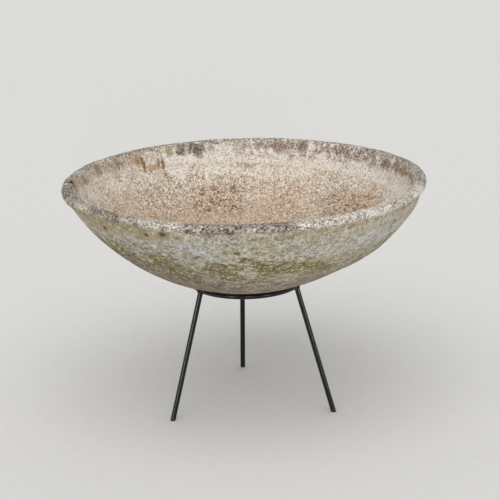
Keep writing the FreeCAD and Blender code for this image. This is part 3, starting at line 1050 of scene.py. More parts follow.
def sooty(board, colour):
    """Soot, olive film, dirt and specks, with less of the dark ones on the cleaner right."""
    soot = board.between(board.pepper * HALF + board.soot * HALF, *SOOT_STEPS)
    clean = 1 - board.sector(*CLEAN_RIGHT) * CLEANER
    colour = board.lay(colour, SOOT, soot * clean, share=0.65)
    olive = board.between(board.patch * HALF + board.grit * HALF, *OLIVE_STEPS)
    colour = board.lay(colour, OLIVE, olive * board.belt(*OLIVE_BELT), share=0.35)
    dirt = board.between(board.soot + board.stray(board.streak, reach=0.7), *DIRT_STEPS)
    colour = board.lay(colour, DIRT, dirt * clean * board.belt(*DIRT_BELT), share=0.6)
    specks = board.between(board.pepper, *SPECK_STEPS) * board.sector(*SPECK_FRONT)
    return board.lay(colour, SPECK, specks * board.belt(*SPECK_BELT), share=0.8), clean


print("specks lie within", SPECK_FRONT[1], "degrees of the front")

# %% [markdown]
# ### Flanks and fibres
#
# The flanks are painted darker and browner than the front, as painted shade, and the ends of fibres
# show everywhere as fine dark and pale strokes. Hair or a texture of scratches could draw them, but
# a noise that is squeezed in height gives strokes that lie round the bowl, as the fibres do.

# %% Flanks and fibres
# painted shade on the left and right flanks
LEFT_FLANK_SHADE, LEFT_FLANK_SHADE_ZONE = (128, 115, 86), ((-56.0, 24.0, 18.0), (0.04, 0.09, 0.20, 0.24))
RIGHT_FLANK_SHADE, RIGHT_FLANK_SHADE_ZONE = (146, 138, 112), ((58.0, 18.0, 16.0), (0.03, 0.05, 0.14, 0.18))
SOIL, SOIL_DEPTHS = (150, 133, 105), (0.110, 0.160)
FIBRE_DARK, FIBRE_PALE = (92, 77, 54), (226, 216, 199)
FIBRE_DARK_STEPS, FIBRE_PALE_STEPS = (0.45, 0.38), (0.55, 0.62)
CHALK_COVER = 0.7


def fibrous(board, colour, chalk):
    """Painted shade on both flanks, a browner lower side, and the ends of fibres, but less of them on
    the chalk.
    """
    # painted shade on both flanks
    colour = board.lay(colour, LEFT_FLANK_SHADE, board.zone(*LEFT_FLANK_SHADE_ZONE), share=0.6)
    right_flank_shade = board.zone(*RIGHT_FLANK_SHADE_ZONE)
    bare = 1 - chalk * CHALK_COVER
    colour = board.lay(colour, RIGHT_FLANK_SHADE, right_flank_shade * bare, share=0.4)
    soil = board.between(board.depth + board.stray(board.streak, reach=0.10), *SOIL_DEPTHS)
    colour = board.lay(colour, SOIL, soil, share=0.55)
    fibre = board.noise(board.fibres, scale=150.0, detail=3.0, roughness=0.74)
    dark = board.between(fibre, *FIBRE_DARK_STEPS) * bare
    colour = board.lay(colour, FIBRE_DARK, dark, share=0.55)
    pale = board.between(fibre, *FIBRE_PALE_STEPS) * bare
    return board.lay(colour, FIBRE_PALE, pale, share=0.45)


print("the lower side turns brown from", SOIL_DEPTHS[0], "m below the rim")

# %% [markdown]
# ### Moss and lichen
#
# Moss grows in a belt where water hangs under the curve. It follows the fibres, so its mask is the
# streaky noise, raised or lowered by the listed growths. A plain belt of noise would be as green, but
# the cushions would sit in the wrong places. White flecks of lichen lie over it.

# %% Moss
MOSS_BELT, MOSS_STEPS, MOSS_BELT_WEIGHT = (0.040, 0.120, 0.165, 0.215), (0.455, 0.565), 0.20
GROWTH_CORE = 0.45
MOSS_DARK, MOSS_MIDDLE, MOSS_PALE = (68, 58, 14), (122, 112, 42), (160, 151, 74)
MOSS_DARK_STEPS, MOSS_PALE_STEPS = (0.42, 0.54), (0.55, 0.64)
FLECK, FLECK_STEPS, FLECK_BELT = (216, 209, 194), (0.565, 0.61), (0.04, 0.07, 0.18, 0.23)


def moss_mask(board):
    """Where moss grows: streaks in a belt, thicker and thinner at the listed growths."""
    belt = board.belt(*MOSS_BELT)
    favour = board.stray(board.noise(board.place, scale=13.0), reach=0.45)
    for angle, depth, radius, more in GROWTHS:
        away = board.away(board.place, on_bowl(angle, depth, False))
        away = away + board.stray(board.patch, reach=radius)
        favour = favour + board.between(away, radius, radius * GROWTH_CORE) * more
    return board.between(board.streak + favour + (belt - 1) * MOSS_BELT_WEIGHT, *MOSS_STEPS)


def mossy(board, colour, moss):
    """Three greens from dark to pale, and white flecks over them."""
    green = board.mix(board.between(board.pepper, *MOSS_DARK_STEPS), MOSS_DARK, MOSS_MIDDLE)
    green = board.mix(board.between(board.pepper, *MOSS_PALE_STEPS), green, MOSS_PALE)
    colour = board.lay(colour, green, moss, share=0.94)
    fleck = board.between(board.fleck, *FLECK_STEPS) * board.belt(*FLECK_BELT)
    return board.lay(colour, FLECK, fleck, share=0.85)


print("moss grows from", MOSS_BELT[0], "to", MOSS_BELT[-1], "m below the rim")

# %% [markdown]
# ### Painted shade under the bead, and marks of rain
#
# Brown painted shade lies under the bead on the left and in a line on the right. Rain leaves a green
# film on the right, and on the left flank thin dark lines where water has dried. Drawn as curves the
# lines would look ruled. A line is also where a noise crosses its middle, and with the noise squeezed
# in height such lines lie round the bowl.

# %% Bead shade and marks of rain
# painted shade under the bead: on the left, and in a line on the right
BEAD_SHADE = (144, 128, 92)
BEAD_SHADE_LEFT = (-70.0, 32.0, 14.0), (0.002, 0.010, 0.034, 0.066)
BEAD_SHADE_LINE = (44.0, 26.0, 14.0), (0.018, 0.022, 0.026, 0.038)
BEAD_SHADE_BREAKS = (0.36, 0.58)
FILM, FILM_FLECKS = (152, 142, 96), (0.46, 0.54)
FILM_ZONE = (36.0, 16.0, 14.0), (0.095, 0.115, 0.16, 0.19)
TIDE_LINE, TIDE_SQUEEZE, TIDE_WIDTH = (88, 76, 50), (1.0, 1.0, 4.0), (0.035, 0.012)
TIDE_ZONE = (-66.0, 18.0, 14.0), (0.055, 0.085, 0.19, 0.22)


def bead_shade_and_rain_marks(board, colour):
    """Painted shade under the bead on the left and in a line on the right, a green film, and thin
    lines.
    """
    # painted shade under the bead
    left_bead_shade = board.zone(*BEAD_SHADE_LEFT)
    line = board.zone(*BEAD_SHADE_LINE)
    worn = board.between(board.patch + board.stray(board.grit, reach=0.6), *BEAD_SHADE_BREAKS)
    colour = board.lay(colour, BEAD_SHADE, (left_bead_shade + line) * board.lift(worn, least=0.4, more=0.45))
    film = board.zone(*FILM_ZONE) * board.between(board.fleck, *FILM_FLECKS)
    colour = board.lay(colour, FILM, film, share=0.55)
    squeezed = board.vector("MULTIPLY", board.place, TIDE_SQUEEZE)
    tide = board.noise(squeezed, scale=42.0, detail=3.0, roughness=0.6)
    flank = board.zone(*TIDE_ZONE)
    lines = board.between(board.math("ABSOLUTE", tide - NOISE_MIDDLE), *TIDE_WIDTH)
    return board.lay(colour, TIDE_LINE, lines * flank, share=0.7)


print("water has dried in lines around", TIDE_ZONE[0][0], "degrees")

# %% [markdown]
# ### The base
#
# Low on the bowl splashed earth has dried to brown clods, and a crust of dark and pale spots lies
# over all. The low flanks and the base are darkened with painted shade, and where the bowl sits on
# its ring a dark circle of painted contact shadow is laid. A second material could hold the base,
# but its border would show, so it fades in with depth.

# %% Base and outside colour
CLOD_DARK, CLOD_PALE = (80, 64, 45), (160, 141, 117)
CLOD_STEPS, CLOD_DEPTHS = (0.36, 0.60), (0.142, 0.206)
CRUST_DARK, CRUST_DARK_STEPS = (96, 86, 66), (0.47, 0.38)
CRUST_PALE, CRUST_PALE_STEPS, CRUST_SHARE, CRUST_LESS = (218, 212, 198), (0.53, 0.62), 0.55, 0.2
# painted shade on the low flanks and towards the base
LOW_PAINTED_SHADE, LOW_SHADE_BELT = (58, 46, 22), (0.09, 0.14, 0.22, 0.27)
LOW_SHADE_LEFT, LOW_SHADE_LEFT_SHARE = (-42.0, 22.0, 18.0), 0.24
LOW_SHADE_RIGHT, LOW_SHADE_RIGHT_SHARE = (48.0, 16.0, 16.0), 0.17
LOW_SHADE_DEPTHS, LOW_SHADE_BASE_SHARE = (0.13, 0.19), 0.07
# painted contact shadow where the ring touches the bowl
CONTACT_SHADE, CONTACT_SHADE_WIDTH, CONTACT_SHADE_DEPTHS = (66, 57, 49), (0.006, 0.001), (0.22, 0.24)
SEAT_RADIUS = 0.1352


def caked(board, colour, clean, moss):
    """Brown clods low down, the crust over all, and painted shade on the low flanks and near the
    base.
    """
    low = board.between(board.depth + board.stray(board.streak, reach=0.20), *CLOD_DEPTHS)
    clod = board.noise(board.apart, scale=44.0, detail=4.0, roughness=0.72)
    brown = board.mix(board.between(clod, *CLOD_STEPS), CLOD_DARK, CLOD_PALE)
    colour = board.lay(colour, brown, low, share=0.85)
    crust = board.noise(board.place, scale=88.0, detail=5.0, roughness=0.74)
    dark = board.between(crust, *CRUST_DARK_STEPS) * clean
    colour = board.lay(colour, CRUST_DARK, dark, share=0.6)
    # painted shade, low on the flanks and towards the base
    low_shade = board.sector(*LOW_SHADE_LEFT) * LOW_SHADE_LEFT_SHARE
    low_shade = low_shade + board.sector(*LOW_SHADE_RIGHT) * LOW_SHADE_RIGHT_SHARE
    low_shade = low_shade * board.belt(*LOW_SHADE_BELT)
    low_shade = low_shade + board.between(board.depth, *LOW_SHADE_DEPTHS) * LOW_SHADE_BASE_SHARE
    colour = board.lay(colour, LOW_PAINTED_SHADE, low_shade)
    pale = board.between(crust, *CRUST_PALE_STEPS)
    pale = pale * (CRUST_SHARE - moss * CRUST_LESS - low * CRUST_LESS)
    return board.lay(colour, CRUST_PALE, pale)


def contact_shaded(board, colour):
    """Painted contact shadow: a dark circle where the ring touches the bowl."""
    across = board.math("SQRT", board.east * board.east + board.north * board.north)
    off_seat = board.math("ABSOLUTE", across - SEAT_RADIUS)
    circle = board.between(off_seat + board.stray(board.grit, reach=0.008), *CONTACT_SHADE_WIDTH)
    return board.lay(colour, CONTACT_SHADE, circle * board.between(board.depth, *CONTACT_SHADE_DEPTHS), share=0.7)


def outside_colour(board):
    """Pale grey with olive moss and white flecks, brown towards the base, and painted shade in
    places.
    """
    colour, chalk = bare_cement(board)
    colour, clean = sooty(board, colour)
    colour = fibrous(board, colour, chalk)
    moss = moss_mask(board)
    colour = mossy(board, colour, moss)
    colour = bead_shade_and_rain_marks(board, colour)
    colour = caked(board, colour, clean, moss)
    return contact_shaded(board, colour)


print("the ring touches the bowl", SEAT_RADIUS, "m from its axis")

# %% [markdown]
# ### The lip
#
# The lip takes the most weather, and black, grey and white lichen share it in patches of a few
# millimetres. One noise with four colours gives them. It is pushed up or down in sectors, because
# some stretches of the lip are darker or paler. The edge of the lip's zone wanders, so that lichen
# spills over it.

# %% Lip of the bowl
LICHEN_BLACK, LICHEN_DARK, LICHEN_GREY = (56, 48, 42), (140, 128, 115), (174, 164, 150)
LICHEN_WHITE = (224, 218, 207)
DARK_STEPS, GREYER_STEPS, WHITE_STEPS = (0.39, 0.46), (0.49, 0.55), (0.56, 0.62)
LIP_SECTORS = [
    # sector, and how much paler the lip is there
    ((-6.0, 13.0, 6.0), -0.05),
    ((42.0, 25.0, 10.0), 0.065),
    ((-31.0, 6.0, 4.0), 0.04),
    ((-72.0, 30.0, 8.0), -0.035),
]
SPILL_LEFT, SPILL_LEFT_MORE = (-64.0, 26.0, 14.0), 0.010
SPILL_FRONT, SPILL_FRONT_LESS = (14.0, 40.0, 12.0), 0.008
SPILL_OUTSIDE, SPILL_INSIDE, SPILL_DEPTHS = (0.042, 0.016), (-0.020, -0.010), (0.060, 0.030)


def lip_colour(board):
    """Black, grey and white lichen, in stretches that are paler or darker."""
    tone = board.noise(board.place, scale=175.0, detail=4.0, roughness=0.74)
    tone = tone + board.stray(board.patch, reach=0.3) + board.stray(board.cloud, reach=0.2)
    for sector, paler in LIP_SECTORS:
        tone = tone + board.sector(*sector) * paler
    colour = board.mix(board.between(tone, *DARK_STEPS), LICHEN_BLACK, LICHEN_DARK)
    colour = board.mix(board.between(tone, *GREYER_STEPS), colour, LICHEN_GREY)
    return board.mix(board.between(tone, *WHITE_STEPS), colour, LICHEN_WHITE)


def lip_mask(board):
    """1 on the lip, with a ragged edge that reaches further down the outside on the left."""
    wander = board.stray(board.patch, reach=0.05) + board.stray(board.grit, reach=0.03)
    spill = board.along + wander + board.sector(*SPILL_LEFT) * SPILL_LEFT_MORE
    spill = spill - board.sector(*SPILL_FRONT) * SPILL_FRONT_LESS
    spill = spill + board.stray(board.grit, reach=0.08)
    mask = board.between(spill, *SPILL_OUTSIDE) * board.between(board.along + wander, *SPILL_INSIDE)
    return mask * board.between(board.depth, *SPILL_DEPTHS)


print("stretches of the lip", len(LIP_SECTORS))

# %% [markdown]
# ### Sand, stains and pits
#
# Loose sand lies over all, most of it inside, and over that come the drips and spots of the list.
# Each stain is a distance from its place with a ragged edge. Decals would be sharper, but they
# would need images, and a stretched distance is enough for a drip.

# %% Sand, stains and pits
SAND_DARK, SAND_PALE = (78, 63, 48), (252, 247, 238)
SAND_DARK_STEPS, SAND_PALE_STEPS = (0.46, 0.34), (0.54, 0.66)
SAND_INSIDE, SAND_OUTSIDE, SAND_LIP, SAND_DEPTHS = 0.55, 0.40, 0.2, (0.06, 0.12)
STAIN_CORE = 0.4
STAIN_SPECK, STAIN_SPECK_STEPS = (58, 48, 36), (0.50, 0.40)
STAIN_GRAIN, STAIN_GRAIN_STEPS = (204, 190, 173), (0.52, 0.60)
PIT_EDGE, PIT_DARK = 0.9, 0.5


def sanded(board, colour, sand, lip):
    """Dark and pale grains, most of them inside."""
    share = board.inside * SAND_INSIDE
    share = share + (1 - board.inside) * board.between(board.depth, *SAND_DEPTHS) * SAND_OUTSIDE
    share = share + lip * SAND_LIP
    colour = board.lay(colour, SAND_DARK, board.between(sand, *SAND_DARK_STEPS) * share)
    return board.lay(colour, SAND_PALE, board.between(sand, *SAND_PALE_STEPS) * share, share=0.7)


def stained(board, colour, sand):
    """The drips and spots placed by hand, with specks and grains over them."""
    ragged = board.stray(board.patch, reach=1.2) + board.stray(board.grit, reach=1.4)
    all_stains = 0.0
    for angle, depth, inside, size, stretch, shade, strength in STAINS:
        away = board.reach(angle, depth, inside, stretch) + ragged * size
        side = board.inside if inside else 1 - board.inside
        mask = board.between(away, size, size * STAIN_CORE) * side * strength
        colour = board.lay(colour, shade, mask)
        all_stains = board.math("MAXIMUM", all_stains, mask)
    specks = all_stains * board.between(board.pepper, *STAIN_SPECK_STEPS)
    colour = board.lay(colour, STAIN_SPECK, specks, share=0.45)
    grains = all_stains * board.between(sand, *STAIN_GRAIN_STEPS)
    return board.lay(colour, STAIN_GRAIN, grains, share=0.5)


def pitted(board, colour):
    """The dark bottoms of the pits."""
    for angle, depth, inside, size, _, shade in PITS:
        away = board.away(board.place, on_bowl(angle, depth, inside))
        dark = board.between(away, size * PIT_EDGE, size * PIT_DARK)
        colour = board.lay(colour, shade, dark, share=0.95)
    return colour


print("sand, stains and pits ready")

# %% [markdown]
# ### The whole finish
#
# The zones are put together in the order in which they came about: cement and growth, then the lip,
# then loose sand over all, then drips and spots, and last the dark bottoms of the pits. Cement is
# rough all over, and a bump finer than the mesh finishes its grain.

# %% Cement finish
CEMENT_ROUGHNESS, CEMENT_ROUGHER, ROUGH_STEPS = 0.82, 0.14, (0.3, 0.7)
BUMP_STRENGTH, BUMP_DISTANCE = 0.6, 0.003
GRIT_HEIGHT, PEPPER_HEIGHT = 0.7, 0.4


def cement_finish():
    material, board, shader = new_finish("weathered_cement", Cement)
    colour = board.mix(board.inside, outside_colour(board), inside_colour(board))
    lip = lip_mask(board)
    colour = board.lay(colour, lip_colour(board), lip)
    sand = board.noise(board.place, scale=215.0, roughness=0.6)
    colour = sanded(board, colour, sand, lip)
    colour = stained(board, colour, sand)
    colour = pitted(board, colour)
    rough = board.lift(board.between(board.grit, *ROUGH_STEPS), CEMENT_ROUGHNESS, CEMENT_ROUGHER)
    height = board.grit * GRIT_HEIGHT + board.pepper * PEPPER_HEIGHT
    relief = {"Strength": BUMP_STRENGTH, "Distance": BUMP_DISTANCE, "Height": height}
    board.feed(shader.inputs["Base Color"], colour)
    board.feed(shader.inputs["Roughness"], rough)
    board.feed(shader.inputs["Normal"], board.node("ShaderNodeBump", {}, relief))
    return material


cement = cement_finish()
print("cement finish has", len(cement.node_tree.nodes), "nodes")

# %% [markdown]
# ## Growing the bowl
#
# The section is handed to the tree as a chain of points, each with its distance along the section,
# and the finished mesh stands for the solid bowl and rides on its body. The heights of the relief
# are in metres: for a noise from its lowest to its highest, for the bulge and the fold from nothing
# to full.

# %% Bowl
COLUMNS = 560
RELIEF = {
    "Wave": 0.006,
    "Lumps": 0.0026,
    "Grain": 0.0020,
    "Lip wear": 0.0030,
    "Bulge": 0.010,
    "Fold": 0.0022,
}
section_guide = guide_mesh("bowl_section", [(r, 0.0, z) for r, z in section], along=along_rim)
bowl_sizes = {"Columns": COLUMNS, "Rows": len(section), "Material": cement, **RELIEF}
bowl = grow("weathered_bowl", section_guide, BOWL_TREE, bowl_sizes)
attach(bowl, "bowl")
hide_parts("bowl")

# %% [markdown]
# ## The bar stand
#
# The stand is made from one size of round bar: a ring bent to a circle and closed by a weld, and
# three straight legs that run up against its underside. A cylinder would do for a leg, but its foot
# is sawn level with the floor and its edge broken, and a weld is a bar too, if its girth goes up
# and down. So one tree sweeps a circle along a chain of points, each with its own girth, and can
# saw the end of a leaning bar level.

# %% Bar sizes
ring_low, ring_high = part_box("stand_ring")
BAR_RADIUS = (ring_high.z - ring_low.z) / 2
RING_RADIUS = ring_high.x - BAR_RADIUS
RING_HEIGHT = (ring_low.z + ring_high.z) / 2
FOOT_RADIUS = 0.234
LEG_ANGLES = {"leg_rear": 180.0, "leg_front_left": -60.0, "leg_front_right": 60.0}
UPRIGHT = (0.0, 0.0, 1.0)
print("ring", round(RING_RADIUS, 4), "m from the axis, at height", round(RING_HEIGHT, 4))

# %% [markdown]
# ### Sweeping a bar
#
# A bar is drawn through a round die, and Curve to Mesh does much the same with a circle and a path.
# An extruded circle would need a cut for the level foot. Here the points of the foot are slid along
# the bar instead, until they lie at one height.


# %% Bar tree
def bar_tree():
    inputs = {"Sides": "Int", "Lean": "Vector", "Material": "Material"}
    board, given, keys = new_shape_tree("round bar", inputs)
    girth, level, height = (stored(board, label) for label in ("girth", "level", "height"))
    path = board.node("GeometryNodeMeshToCurve", {}, {"Mesh": given["Geometry"]})
    round_section = {"Resolution": given["Sides"], "Radius": 1.0}
    circle = board.node("GeometryNodeCurvePrimitiveCircle", {}, round_section)
    sweep = {"Curve": path, "Profile Curve": circle, "Scale": girth, "Fill Caps": True}
    tube = board.node("GeometryNodeCurveToMesh", {}, sweep)
    _, _, up = board.parts(board.node("GeometryNodeInputPosition"))
    _, _, rise = board.parts(given["Lean"])
    slide = {0: given["Lean"], "Scale": (height - up) * level / rise}
    shift = board.node("ShaderNodeVectorMath", {"operation": "SCALE"}, slide)
    sawn = board.node("GeometryNodeSetPosition", {}, {"Geometry": tube, "Offset": shift})
    end_shape_tree(board, sawn, given["Material"])
    return board, keys


BAR_TREE = bar_tree()
print("bar tree has", len(BAR_TREE[0].tree.nodes), "nodes")

# %% [markdown]
# ## Black paint
#
# The stand is far newer than the bowl. Its paint is a satin black with the faint pebbling of a
# spray can, a little dust on what faces up, and a brown scuff where the feet have been dragged over
# floors. One black all over would look like plastic, so a slow noise shifts it between two blacks.

# %% Paint finish
BLACK, WORN_BLACK, DUST, SCUFF = (9, 8, 7), (20, 17, 15), (150, 140, 126), (66, 50, 40)
DUST_TILT, DUST_CLOUDS, DUST_SHARE = (0.35, 0.95), (0.35, 0.65), 0.08
SCUFF_HEIGHTS, SCUFF_SHARE, SCUFF_ROUGHNESS = (0.009, 0.000), 0.7, 0.3
SATIN, SATIN_CLOUDS, GLOSS = 0.16, 0.08, 0.32
PEEL_SCALE, PEEL_STRENGTH, PEEL_DISTANCE = 900.0, 0.12, 0.0003


def paint_finish():
    material, board, shader = new_finish("black_paint")
    place = board.node("ShaderNodeTexCoord", out="Object")
    _, _, up = board.parts(place)
    _, _, tilt = board.parts(board.node("ShaderNodeNewGeometry", out="Normal"))
    cloud = board.noise(place, scale=30.0, detail=4.0, roughness=0.6)
    peel = board.noise(place, PEEL_SCALE)
    dust = board.between(tilt, *DUST_TILT) * board.between(cloud, *DUST_CLOUDS) * DUST_SHARE
    scuff = board.between(up + board.stray(cloud, reach=0.02), *SCUFF_HEIGHTS) * SCUFF_SHARE
    colour = board.mix(cloud, BLACK, WORN_BLACK)
    colour = board.lay(colour, DUST, dust)
    colour = board.lay(colour, SCUFF, scuff)
    relief = {"Strength": PEEL_STRENGTH, "Distance": PEEL_DISTANCE, "Height": peel + cloud}
    board.feed(shader.inputs["Base Color"], colour)
    rough = SATIN + cloud * SATIN_CLOUDS + dust + scuff * SCUFF_ROUGHNESS
    board.feed(shader.inputs["Roughness"], rough)
    board.feed(shader.inputs["Specular IOR Level"], GLOSS)
    board.feed(shader.inputs["Normal"], board.node("ShaderNodeBump", {}, relief))
    return material


black_paint = paint_finish()
print("black paint has", len(black_paint.node_tree.nodes), "nodes")

# %% [markdown]
# ## The ring
#
# The ring is a bar bent to a closed circle. A torus would look the same, but the legs and welds
# need the swept bar anyway, so the ring is swept too.


# %% Ring
def sweep_bar(name, node, points, girths, sides, closed=False, lean=UPRIGHT, levels=None):
    """A bar along points, in place of a solid of the stand."""
    levels = levels or [0.0] * len(points)
    numbers = {"girth": girths, "level": levels, "height": [p[2] for p in points]}
    guide = guide_mesh(name + "_path", points, closed, **numbers)
    piece = grow(name, guide, BAR_TREE, {"Sides": sides, "Lean": lean, "Material": black_paint})
    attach(piece, "stand")
    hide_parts(node)
    return piece


RING_STEPS = 180
BAR_SIDES = 32
ring_angles = [360.0 * i / RING_STEPS for i in range(RING_STEPS)]
ring_points = [round_axis(angle, RING_RADIUS, RING_HEIGHT) for angle in ring_angles]
sweep_bar("bent_ring", "stand_ring", ring_points, [BAR_RADIUS] * RING_STEPS, BAR_SIDES, closed=True)

# %% [markdown]
# ## The legs
#
# A leg is a chain from its foot to the ring, with a few points close together at the foot for the
# broken edge. A boolean cut would level the foot too, but it leaves thin stray faces. So the lowest
# points are slid along the bar until they lie level, as a saw would leave them.

# %% Legs
LEG_STEPS = 40
HEAD_SUNK = 0.0030
# how far up the bar, and how much of its radius the file has taken there
FOOT_BREAK = [(0.0, 0.0008), (0.0002, 0.0003), (0.0008, 0.0)]
BREAK_END = 0.0030


def leg_line(angle):
    """A leg's foot on the floor, its head at the middle of the ring's bar, and its direction."""
    foot = round_axis(angle, FOOT_RADIUS, 0.0)
    head = round_axis(angle, RING_RADIUS, RING_HEIGHT)
    return foot, head, (head - foot).normalized()


def build_leg(node, angle):
    """A straight bar from the floor to the ring, sawn level and with a broken edge at the foot."""
    foot, head, lean = leg_line(angle)
    length = (head - foot).length - HEAD_SUNK
    rises = [rise for rise, _ in FOOT_BREAK]
    girths = [BAR_RADIUS - cut for _, cut in FOOT_BREAK]
    for i in range(LEG_STEPS + 1):
        rises.append(BREAK_END + (length - BREAK_END) * i / LEG_STEPS)
        girths.append(BAR_RADIUS)
    levels = [1.0] * len(FOOT_BREAK) + [0.0] * (LEG_STEPS + 1)
    points = [foot + lean * rise for rise in rises]
    name = "bar_" + node
    return sweep_bar(name, node, points, girths, BAR_SIDES, lean=tuple(lean), levels=levels)


for leg_node, leg_angle in LEG_ANGLES.items():
    build_leg(leg_node, leg_angle)

# %% [markdown]
# ## The welds
#
# Each weld follows the seam where two round bars of one size meet: at an angle round the leg, the
# seam lies the bar's radius times the cosine of that angle below the ring's centre. A smooth collar
# would look cast. The bead here is a thin bar whose girth goes up and down, once for each drop of
# metal. The weld that closes the ring is left proud outside and below, and has been dressed away
# where the bowl lies.

# %% Welds
BEAD = 0.0026
RIPPLE = [0.90, 1.05, 1.10, 1.00]
RIPPLES, RING_WELD_RIPPLES = 16, 8
BEAD_SIDES = 12
LEAST_DROP = 0.35
RING_WELD_ANGLE = -8.0
RING_WELD_START, RING_WELD_END = -125.0, 55.0
RING_WELD_SUNK = 0.2
BEAD_END, BEAD_SWELL = 0.25, 0.75


def build_leg_weld(node, angle):
    """A rippled bead along the seam between a leg and the ring."""
    _, head, lean = leg_line(angle)
    along_ring = round_axis(angle + 90.0, 1.0, 0.0)
    outward = along_ring.cross(lean)
    steps = RIPPLES * len(RIPPLE)
    points = []
    girths = []
    for i in range(steps):
        turn = math.tau * i / steps
        drop = BAR_RADIUS * max(abs(math.cos(turn)), LEAST_DROP)
        ray = along_ring * math.cos(turn) + outward * math.sin(turn)
        points.append(head - lean * drop + ray * BAR_RADIUS)
        girths.append(BEAD * RIPPLE[i % len(RIPPLE)])
    return sweep_bar("bead_" + node, node, points, girths, BEAD_SIDES, closed=True)


def build_ring_weld():
    """The bead that closes the ring, thin at both ends."""
    outward = round_axis(RING_WELD_ANGLE, 1.0, 0.0)
    centre = round_axis(RING_WELD_ANGLE, RING_RADIUS, RING_HEIGHT)
    steps = RING_WELD_RIPPLES * len(RIPPLE)
    points = []
    girths = []
    for i in range(steps + 1):
        share = i / steps
        turn = math.radians(RING_WELD_START + (RING_WELD_END - RING_WELD_START) * share)
        ray = outward * math.cos(turn) + Vector(UPRIGHT) * math.sin(turn)
        points.append(centre + ray * (BAR_RADIUS - BEAD * RING_WELD_SUNK))
        swell = BEAD_END + BEAD_SWELL * math.sin(math.pi * share)
        girths.append(BEAD * swell * RIPPLE[i % len(RIPPLE)])
    return sweep_bar("bead_ring", "ring_weld", points, girths, BEAD_SIDES)


for leg_node, leg_angle in LEG_ANGLES.items():
    build_leg_weld(leg_node.replace("leg_", "weld_"), leg_angle)
build_ring_weld()

# %% [markdown]
# ## The floor
#
# A plain pale floor, with a faint speckle so that it reads as a surface. A small plane would do for
# the front view. This one is so wide that its far edge lies close to the horizon in low views.

# %% Floor
FLOOR_HALF = 30.0
FLOOR_DARK, FLOOR_PALE, FLOOR_ROUGHNESS = (218, 216, 212), (226, 224, 221), 0.9
corners = [(-1, -1), (1, -1), (1, 1), (-1, 1)]
corner_points = [(FLOOR_HALF * east, FLOOR_HALF * north, 0.0) for east, north in corners]
floor_mesh = bpy.data.meshes.new("studio_floor")
floor_mesh.from_pydata(corner_points, [], [range(len(corners))])
floor = bpy.data.objects.new("studio_floor", floor_mesh)
bpy.context.scene.collection.objects.link(floor)
floor_finish, floor_board, floor_shader = new_finish("studio_floor")
floor_place = floor_board.node("ShaderNodeTexCoord", out="Object")
speckle = floor_board.noise(floor_place, scale=40.0, detail=3.0)
floor_colour = floor_board.mix(speckle, FLOOR_DARK, FLOOR_PALE)
floor_board.feed(floor_shader.inputs["Base Color"], floor_colour)
floor_board.feed(floor_shader.inputs["Roughness"], FLOOR_ROUGHNESS)
floor_mesh.materials.append(floor_finish)
print("floor", 2 * FLOOR_HALF, "m wide")

# %% [markdown]
# ## The light
#
# A pale world gives the even light of a white room. The camera, and whatever mirrors, sees it in
# the floor's own colour instead, so that low views have no hard edge behind the object. A curved
# backdrop would hide that edge too, but it would stand in the way of views from behind.

# %% World
SKY, SKY_STRENGTH = (232, 234, 236), 0.80
SEEN_SKY, SEEN_STRENGTH = (220, 220, 218), 1.0
world = bpy.data.worlds.new("studio")
world.use_nodes = True
bpy.context.scene.world = world
sky = Board(world.node_tree)
rays = sky.outputs(sky.node("ShaderNodeLightPath"))
lit = sky.node("ShaderNodeBackground", {}, {"Color": paint(*SKY), "Strength": SKY_STRENGTH})
shown = sky.node("ShaderNodeBackground", {}, {"Color": paint(*SEEN_SKY), "Strength": SEEN_STRENGTH})
seen = rays["Is Camera Ray"] + rays["Is Glossy Ray"] + rays["Is Transmission Ray"]
dome = sky.node("ShaderNodeMixShader", {}, {0: seen, 1: lit, 2: shown})
sky.feed(world.node_tree.nodes["World Output"].inputs["Surface"], dome)
print("world lit at", SKY_STRENGTH)

# %% [markdown]
# ### Windows and ceiling
#
# Three low lights stand for the windows of a studio: those on the left and right draw the bright
# stripes along the bars, and the one in front draws the line along the ring. A wide one above
# stands for its ceiling. Area lamps could do this too, but their light falls off with distance, and
# a sun keeps the stripes even along a bar.

# %% Lights
LIGHTS = {
    # degrees round the axis, degrees above the floor, spread in degrees, strength
    "left_window": (-34.0, 5.5, 6.0, 0.46),
    "right_window": (36.0, 5.5, 4.0, 0.35),
    "front_window": (0.0, 10.0, 8.0, 0.30),
    "overhead": (-10.0, 60.0, 60.0, 1.02),
}


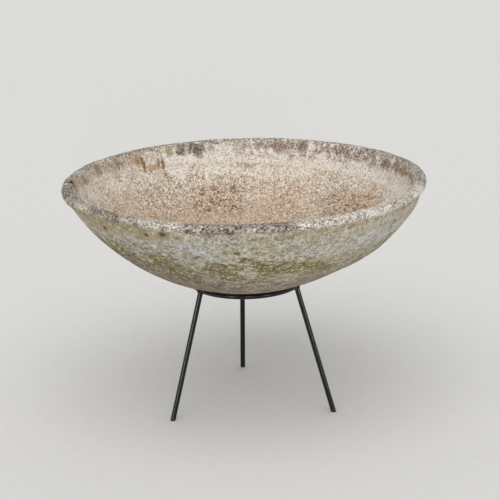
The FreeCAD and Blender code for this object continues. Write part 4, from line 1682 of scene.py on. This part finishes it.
def soft_sun(name, angle, climb, spread, strength):
    """A soft light that falls alike everywhere, from an angle round the axis and a climb."""
    lamp = bpy.data.lights.new(name, "SUN")
    lamp.angle = math.radians(spread)
    lamp.energy = strength
    light = bpy.data.objects.new(name, lamp)
    ray = round_axis(angle, math.cos(math.radians(climb)), math.sin(math.radians(climb)))
    light.rotation_euler = (-ray).to_track_quat("-Z", "Y").to_euler()
    bpy.context.scene.collection.objects.link(light)
    return light


for light_name, light_sizes in LIGHTS.items():
    soft_sun(light_name, *light_sizes)
print("lights", len(LIGHTS))

# %% [markdown]
# ## The camera
#
# The camera stands at the photograph's viewing angle: about 3.85 m in front, 1.55 m above the floor
# and looking down. It was found by fitting the rim, the ring and the feet. The focal length is
# given in pixels of a square frame of 500, and the turn is how far round the object the camera
# stands.

# %% Camera
FOCAL_PIXELS = 1600.0
FRAME_PIXELS = 500.0
SENSOR = 36.0
FAR_CLIP = 200.0
STAND_OFF = 3.850
EYE_HEIGHT = 1.551
YAW, PITCH, ROLL, TURN = 0.0028, 0.2904, -0.0267, 0.0710
lens = bpy.data.cameras.new("camera")
lens.sensor_width = SENSOR
lens.lens = FOCAL_PIXELS / FRAME_PIXELS * SENSOR
lens.clip_end = FAR_CLIP
right = Vector((math.cos(YAW), -math.sin(YAW), 0.0))
ahead = Vector((math.sin(YAW) * math.cos(PITCH), math.cos(YAW) * math.cos(PITCH), -math.sin(PITCH)))
up = right.cross(ahead)
side = right * math.cos(ROLL) + up * math.sin(ROLL)
top = up * math.cos(ROLL) - right * math.sin(ROLL)
pose = Matrix((side, top, -ahead)).transposed().to_4x4()
pose.translation = (0.0, -STAND_OFF, EYE_HEIGHT)
camera = bpy.data.objects.new("camera", lens)
camera.matrix_world = Matrix.Rotation(-TURN, 4, "Z") @ pose
bpy.context.scene.collection.objects.link(camera)
bpy.context.scene.camera = camera
bpy.context.scene.view_settings.view_transform = "Standard"
print("camera at", tuple(round(v, 3) for v in camera.matrix_world.translation))
